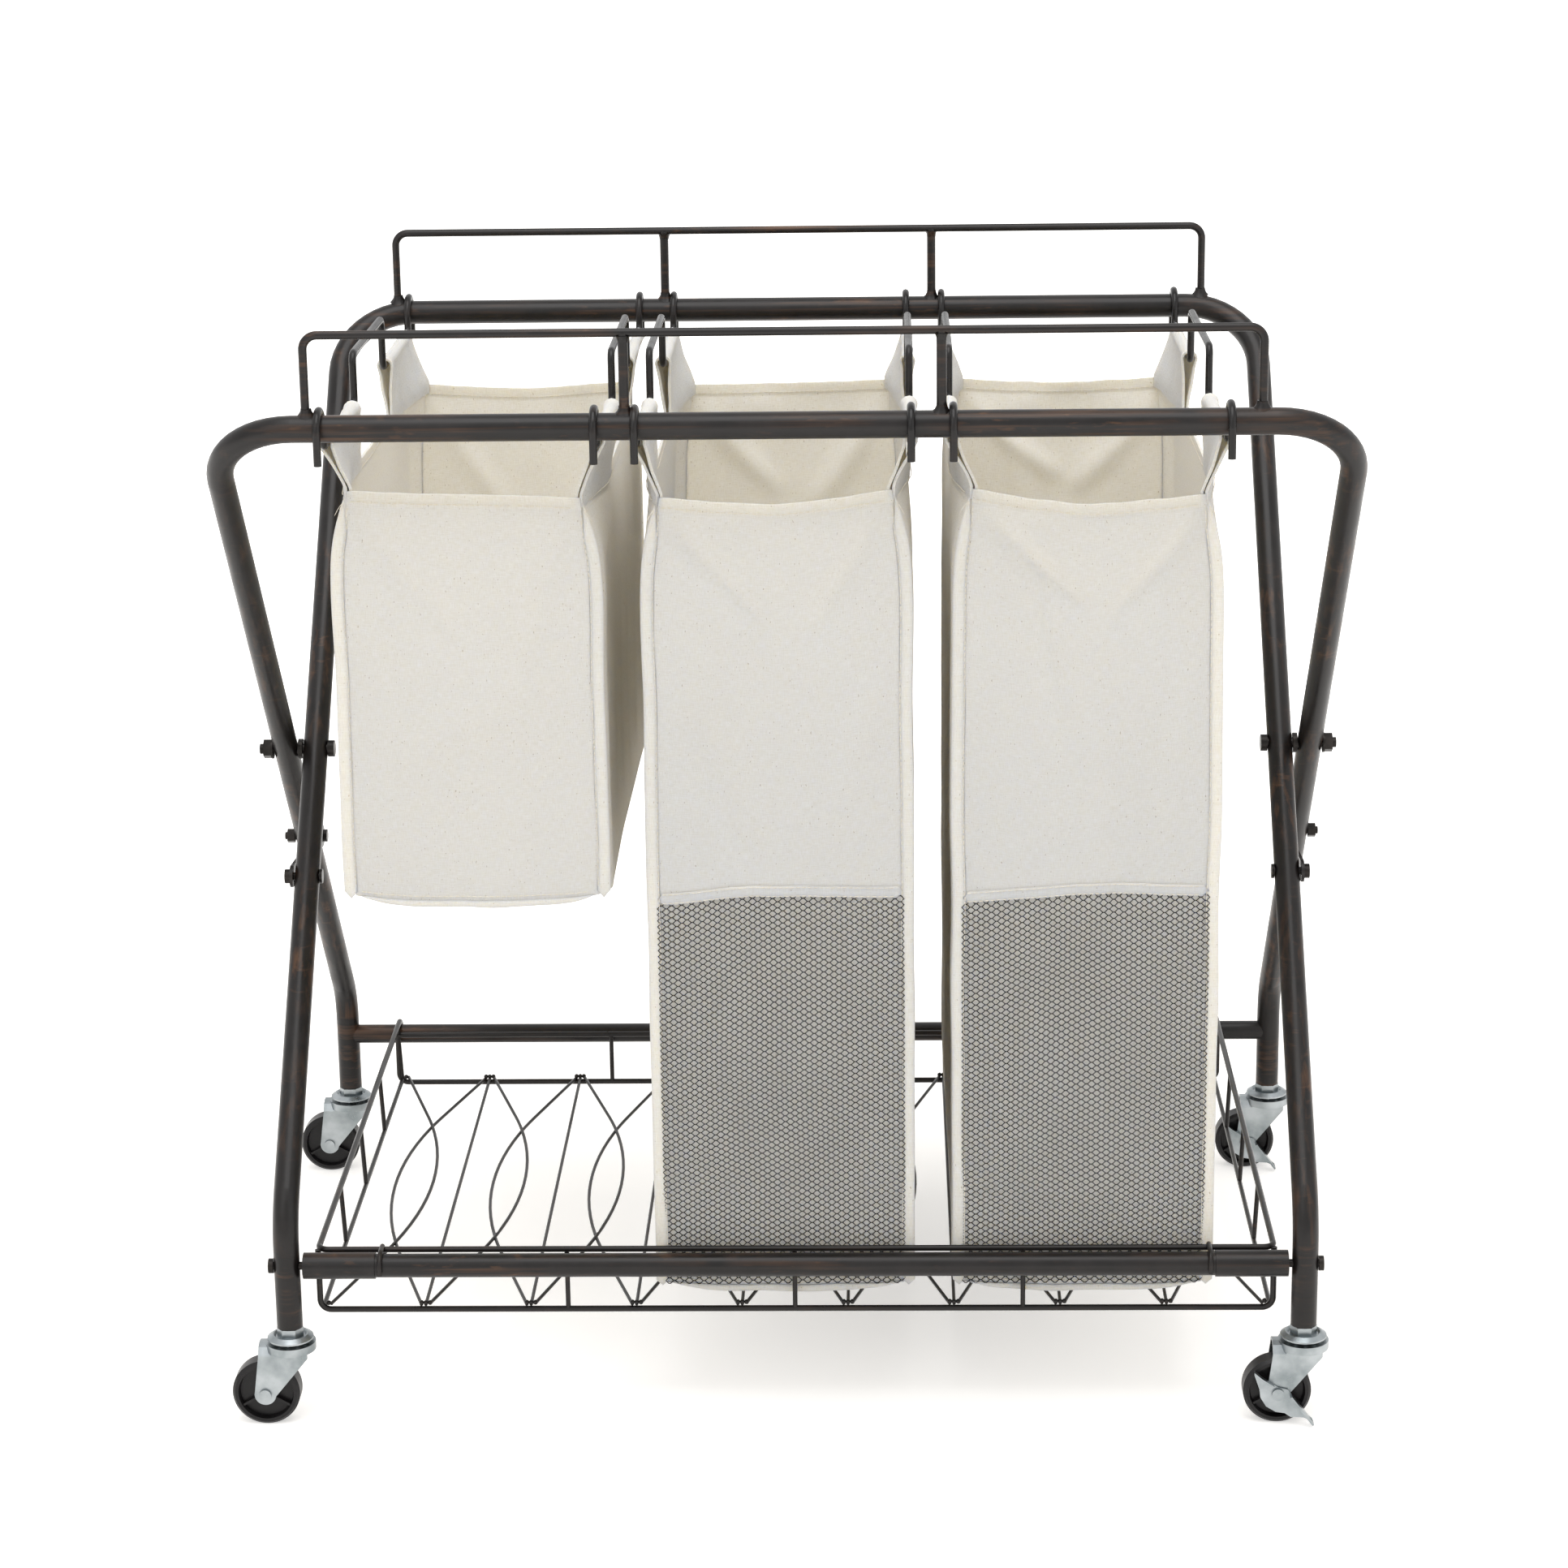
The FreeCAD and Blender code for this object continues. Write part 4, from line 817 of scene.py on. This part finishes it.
def bag_stitches(bag):
    """Rows of stitches along the hems, the seam allowances and the bottom."""
    shares = [n / 40.0 for n in range(41)]
    rows = []
    for sign, side in ((-1.0, "front"), (1.0, "back")):
        proud = (CLOTH / 2.0 + 0.0001) * sign
        for face in (1.0, -1.0):
            line = []
            for share in shares:
                spot = bag.point(side, blend(-0.97, 0.97, share), 0.0072 / bag.height)
                line.append(spot + Vector((0.0, proud * face, 0.0)))
            rows.append(stitch_row(line))
        for corner in (-1.0, 1.0):
            line = []
            for share in shares:
                down = blend(0.012, bag.height - 0.003, share)
                y = sign * (bag.depth - FACE_SETBACK)
                x = bag.half_width(y, down) - bag.allowance(down) - 0.0004
                z = bag.point(side, -sign * corner, down / bag.height).z
                line.append(Vector((bag.middle + corner * x, y + sign * 0.0013, z)))
            rows.append(stitch_row(line))
        line = [bag.point(side, blend(-0.95, 0.95, share), 1.0 - 0.0035 / bag.height)
                + Vector((0.0, sign * 0.0008, 0.0)) for share in shares]
        rows.append(stitch_row(line))
    for sign, side in ((-1.0, "left"), (1.0, "right")):
        for end in (-1.0, 1.0):
            line = []
            for share in shares:
                y = end * blend(CASING_START + 0.004, bag.depth - 0.012, share)
                spot = bag.point(side, sign * y / (bag.depth - FACE_SETBACK), 0.0)
                line.append(spot + Vector((sign * 0.0031, 0.0, -0.0045)))
            rows.append(stitch_row(line))
        middle = [bag.point(side, blend(-0.385, 0.385, share), 0.0072 / bag.height)
                  + Vector((-sign * (CLOTH / 2.0 + 0.0001), 0.0, 0.0)) for share in shares]
        rows.append(stitch_row(middle))
    return joined(f"bag_{bag.name}_stitches", rows)


def thread_ends(bag):
    """Loose ends of sewing thread at the hem corners."""
    ends = []
    for number, (sign, corner) in enumerate(((-1.0, -1.0), (-1.0, 1.0), (1.0, -1.0), (1.0, 1.0))):
        side = "front" if sign < 0 else "back"
        start = bag.point(side, -sign * corner, 0.008 / bag.height)
        for strand in range(3):
            lean = ripple(strand * 1.7, number * 2.3, bag.seed)

            def hanging(share, start=start, sign=sign, corner=corner, strand=strand, lean=lean):
                reach = 0.007 + 0.002 * strand
                spot = start + Vector((corner * (0.0025 + reach * share * (0.4 + lean)),
                                       sign * (0.0016 + 0.0016 * math.sin(math.pi * share)),
                                       -reach * share ** 1.4 * (0.8 + 0.4 * lean)))
                return (spot, Vector((0.00022, 0.0, 0.0)), Vector((0.0, 0.00022, 0.0)))
            ends.append(flat_tube("end", 8, hanging, 6))
    return joined(f"bag_{bag.name}_thread_ends", ends)


# ---------------------------------------------------------------- net pockets

NET_PITCH = 0.0075        # two columns of cells across
NET_CELL = 0.0047         # height of a cell
NET_KNOT = 0.0015         # its flat top and foot
NET_YARN = 0.0008
NET_TOP = 0.400


def pocket_top(bag, x):
    """Height of the net's top edge, lower towards the left seam."""
    left_dip = 0.0058 * smooth(1.0 - (x - bag.middle + 0.087) / 0.075)
    right_dip = 0.0012 * smooth((x - bag.middle) / 0.09)
    return NET_TOP - left_dip - right_dip


def front_face(bag, x, z):
    """The y of the bag's front cloth at a place."""
    down_share = min(1.0, max(0.0, (MOUTH - z) / bag.height))
    down = down_share * bag.height
    y = -(bag.depth - FACE_SETBACK)
    corner = bag.half_width(y, down) - bag.allowance(down)
    share = min(1.0, max(-1.0, (x - bag.middle) / corner))
    return y - bag.swell(share, down, z)


def pocket_net(bag):
    """An open net of six-sided cells over the lower half of the front."""
    half = bag.half - SEAM + 0.0015
    low = bag.bottom + 0.0025
    high = NET_TOP + 0.002
    pairs = math.ceil(2.0 * half / NET_PITCH)
    cells = math.ceil((high - low) / NET_CELL)
    bpy.ops.object.select_all(action="DESELECT")
    bpy.ops.mesh.primitive_circle_add(vertices=6, radius=1.0, fill_type="NGON")
    net = bpy.context.object
    net.name = f"net_pocket_{bag.name}"
    point = (NET_PITCH - NET_KNOT) / 2.0
    outline = ((NET_KNOT / 2.0, NET_CELL / 2.0), (-NET_KNOT / 2.0, NET_CELL / 2.0), (-point, 0.0),
               (-NET_KNOT / 2.0, -NET_CELL / 2.0), (NET_KNOT / 2.0, -NET_CELL / 2.0), (point, 0.0))
    for vertex, (x, y) in zip(net.data.vertices, outline):
        vertex.co = (x, y, 0.0)
    bpy.ops.object.mode_set(mode="EDIT")
    bpy.ops.mesh.select_all(action="SELECT")
    next_cell = (NET_PITCH / 2.0, NET_CELL / 2.0, 0.0)
    bpy.ops.mesh.duplicate_move(TRANSFORM_OT_translate={"value": next_cell})
    bpy.ops.object.mode_set(mode="OBJECT")
    for name, count, offset in (("across", pairs, (NET_PITCH, 0.0, 0.0)),
                                ("up", cells, (0.0, NET_CELL, 0.0))):
        repeat = net.modifiers.new(name, "ARRAY")
        repeat.use_relative_offset = False
        repeat.use_constant_offset = True
        repeat.constant_offset_displace = offset
        repeat.count = count
        bpy.ops.object.modifier_apply(modifier=name)
    weld_doubles(net, 0.00005)
    xs = [v.co.x for v in net.data.vertices]
    ys = [v.co.y for v in net.data.vertices]
    wide, tall = max(xs) - min(xs), max(ys) - min(ys)
    left, foot = min(xs), min(ys)
    for vertex in net.data.vertices:
        across = (vertex.co.x - left) / wide
        up = (vertex.co.y - foot) / tall
        x = bag.middle + blend(-half, half, across)
        z = blend(low, min(high, pocket_top(bag, x) + 0.0015), up)
        inside = 0.0
        if 0.0 < up < 1.0:
            inside = math.sin(math.pi * across) ** 0.5 * math.sin(math.pi * up) ** 0.4
        lean = ripple(x * 22.0 + z * 9.0, z * 13.0 - x * 8.0, bag.seed + 2.0)
        lift = (0.0012 + 0.0034 * max(0.0, lean + 0.25)) * inside
        lift *= smooth((z - 0.14) / 0.05)
        stretch = 0.0016 * ripple(x * 16.0, z * 11.0, bag.seed + 4.0) * inside
        sway = 0.0016 * ripple(x * 13.0, z * 15.0, bag.seed + 6.0) * inside
        vertex.co = (x + sway, front_face(bag, x, z) - 0.0012 - lift, z + stretch)
    select_only(net)
    yarn = net.modifiers.new("yarn", "WIREFRAME")
    yarn.thickness = NET_YARN
    yarn.use_even_offset = False
    yarn.use_boundary = True
    bpy.ops.object.modifier_apply(modifier="yarn")
    return net


def pocket_band(bag):
    """The curved hem that closes the top of the net, with a row of stitches at each edge."""
    def level(share):
        x = bag.middle + blend(-1.0, 1.0, share) * (bag.half - SEAM + 0.001)
        z = pocket_top(bag, x) + 0.0042
        middle = Vector((x, front_face(bag, x, z) - 0.0012, z))
        return (middle, Vector((0.0, 0.0, 0.0046)), Vector((0.0, -0.0007, 0.0)))
    band = flat_tube("band", 40, level, 16)
    rows = []
    for offset in (-0.0030, 0.0034):
        line = []
        for n in range(41):
            middle = level(blend(0.02, 0.98, n / 40.0))[0]
            line.append(middle + Vector((0.0, -0.0008, offset)))
        rows.append(stitch_row(line))
    return joined(f"pocket_hem_{bag.name}", [band]), joined(f"pocket_stitches_{bag.name}", rows)


def build_bags():
    """Every bag with its casings, seams, stitches, thread ends and net pocket."""
    for name in BAGS:
        bag = Bag(name)
        cloth = settle(bag_cloth(bag), CANVAS, bag.body)
        casings = settle(bag_casings(bag), CANVAS, bag.body)
        seams = settle(seam_bands(bag), TAPE, bag.body)
        stitches = settle(bag_stitches(bag), THREAD, bag.body)
        ends = settle(thread_ends(bag), THREAD, bag.body)
        extras = [seams, stitches, ends]
        if bag.tall:
            net = settle(pocket_net(bag), NET, bag.body)
            band, band_rows = pocket_band(bag)
            settle(band, TAPE, bag.body)
            settle(band_rows, THREAD, bag.body)
            extras += [net, band, band_rows]
            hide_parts(f"mesh_pocket_{name}")
        for piece in (cloth, casings, seams, *extras[3:5]):
            select_only(piece)
            bpy.ops.object.shade_smooth_by_angle(angle=math.radians(60.0))
        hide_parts(f"bag_{name}")


# ---------------------------------------------------------------- welds

TUBE_RADIUS = 0.0095
RAIL_HEIGHT = 0.7475
INNER_POST = 0.109        # from the middle to each inner guard post
POST_RADIUS = 0.0035
SHELF_BAYS = 9
SHELF_BAY_END = 0.352     # from the middle to the outermost floor wires
WIRE_TIP = 0.0019


def weld_bead(at, low, high, height, saddle=None, flip=False):
    """A flared bead round a rod's foot; saddle is the radius of the tube that it lies on."""
    bpy.ops.object.select_all(action="DESELECT")
    bpy.ops.mesh.primitive_cone_add(vertices=20, radius1=low, radius2=high, depth=height,
                                    location=(0.0, 0.0, height / 2.0))
    bead = bpy.context.object
    bpy.ops.object.transform_apply(location=True, rotation=True, scale=True)
    bpy.ops.object.mode_set(mode="EDIT")
    bpy.ops.mesh.select_all(action="SELECT")
    bpy.ops.mesh.subdivide(number_cuts=2, smoothness=0.0)
    bpy.ops.object.mode_set(mode="OBJECT")
    for vertex in bead.data.vertices:
        x, y, z = vertex.co
        share = z / height
        out = math.hypot(x, y)
        if out > 0.0003:
            flare = blend(low, high, 1.0 - (1.0 - share) ** 2.2)
            lump = 1.0 + 0.14 * ripple(math.atan2(y, x) * 1.8, at[0] * 40.0, share * 2.0)
            grow = min(out / blend(low, high, share), 1.0) * flare * lump
            x, y = x / out * grow, y / out * grow
        if saddle:
            z += math.sqrt(max(0.0, saddle ** 2 - y * y)) - saddle - 0.0003 * (1.0 - share)
        if flip:
            z, y = -z, -y
        vertex.co = Vector((x, y, z)) + Vector(at)
    return bead


def build_welds():
    """Beads at the guard posts and at the ends of the shelf's floor wires."""
    beads = []
    for node in ("front_guard_rail", "rear_guard_rail"):
        low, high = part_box(node)
        y = (low[1] + high[1]) / 2.0
        top = high[2]
        foot = RAIL_HEIGHT + TUBE_RADIUS
        outer = (high[0] - low[0]) / 2.0 - POST_RADIUS
        for x in (-outer, -INNER_POST, INNER_POST, outer):
            beads.append(weld_bead((x, y, foot - 0.0004), 0.0068, 0.0037, 0.0055, TUBE_RADIUS))
        for x in (-INNER_POST, INNER_POST):
            beads.append(weld_bead((x, y, top - 0.0052), 0.0050, 0.0037, 0.0045, None, True))
    welds = settle(joined("guard_welds", beads), BRONZE, "frame")
    low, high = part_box("shelf_floor_wires")
    tips = []
    for bay in range(SHELF_BAYS + 1):
        x = blend(-SHELF_BAY_END, SHELF_BAY_END, bay / SHELF_BAYS)
        shifts = {0: (0.006,), SHELF_BAYS: (-0.006,)}.get(bay, (-0.0032, 0.0, 0.0032))
        for shift in shifts:
            for y, z in ((low[1] + 0.0015, high[2] - 0.0012), (high[1] - 0.0015, high[2] - 0.0006)):
                bpy.ops.object.select_all(action="DESELECT")
                bpy.ops.mesh.primitive_ico_sphere_add(subdivisions=2, radius=WIRE_TIP,
                                                      location=(x + shift, y, z))
                tip = bpy.context.object
                for vertex in tip.data.vertices:
                    lump = ripple(vertex.co.x * 900.0, vertex.co.y * 900.0, shift * 99.0)
                    vertex.co *= 1.0 + 0.12 * lump
                tips.append(tip)
    shelf = settle(joined("shelf_welds", tips), SHELF, "frame")
    for piece in (welds, shelf):
        select_only(piece)
        bpy.ops.object.shade_smooth_by_angle(angle=math.radians(50.0))


# ---------------------------------------------------------------- surroundings

FLOOR_FADE = (0.55, 1.6)      # distances from the sorter's middle over which the floor turns white
FLOOR_GLOW = (0.47, 1.0)
SKY_LIGHT = 0.84
SKY_TINT = (1.0, 0.955, 0.89)
# Name, place, target, size and power of each lamp.
LAMPS = (
    ("key", (-1.6, -2.6, 2.4), (0.0, 0.0, 0.4), 2.0, 10.0),
    ("fill", (2.3, -2.0, 1.5), (0.0, 0.0, 0.4), 2.0, 6.0),
    ("top", (0.0, -0.8, 3.1), (0.0, 0.0, 0.5), 2.2, 42.0),
)


def seen_directly(tree):
    """1 where the camera, a reflection or a see-through part looks, and 0 for other light."""
    path = tree.nodes.new("ShaderNodeLightPath")
    seen = math_node(tree, "MAXIMUM", path.outputs["Is Camera Ray"], path.outputs["Is Glossy Ray"])
    return math_node(tree, "MAXIMUM", seen, path.outputs["Is Transmission Ray"])


def add_floor():
    """A plain pale floor that fades into the white behind it and keeps the shadow."""
    bpy.ops.object.select_all(action="DESELECT")
    bpy.ops.mesh.primitive_plane_add(size=30.0)
    floor = bpy.context.object
    floor.name = "floor"
    material = bpy.data.materials.new("pale floor")
    material.use_nodes = True
    tree = material.node_tree
    shader = next(n for n in tree.nodes if n.type == "BSDF_PRINCIPLED")
    shader.inputs["Base Color"].default_value = (0.86, 0.86, 0.86, 1.0)
    shader.inputs["Roughness"].default_value = 0.9
    shader.inputs["Specular IOR Level"].default_value = 0.1
    shader.inputs["Emission Color"].default_value = (1.0, 1.0, 1.0, 1.0)
    seen = seen_directly(tree)
    place = tree.nodes.new("ShaderNodeTexCoord")
    away = tree.nodes.new("ShaderNodeVectorMath")
    away.operation = "LENGTH"
    tree.links.new(place.outputs["Object"], away.inputs[0])
    level = ranged(tree, away.outputs["Value"], *FLOOR_FADE, *FLOOR_GLOW)
    glow = math_node(tree, "MULTIPLY", seen, level)
    tree.links.new(glow, shader.inputs["Emission Strength"])
    floor.data.materials.append(material)


def add_world():
    """A white surround, dimmer as a light than it looks."""
    world = bpy.data.worlds.new("studio")
    bpy.context.scene.world = world
    world.use_nodes = True
    tree = world.node_tree
    tree.nodes.clear()
    seen = seen_directly(tree)
    strength = ranged(tree, seen, 0.0, 1.0, SKY_LIGHT, 1.0)
    sky = tree.nodes.new("ShaderNodeBackground")
    tree.links.new(mixed(tree, seen, SKY_TINT, (1.0, 1.0, 1.0)), sky.inputs["Color"])
    tree.links.new(strength, sky.inputs["Strength"])
    end = tree.nodes.new("ShaderNodeOutputWorld")
    tree.links.new(sky.outputs["Background"], end.inputs["Surface"])


add_camera()
add_world()
add_floor()
for lamp_facts in LAMPS:
    add_lamp(*lamp_facts)
bpy.context.scene.view_settings.view_transform = "Standard"

finish_nodes()
build_bags()
build_welds()
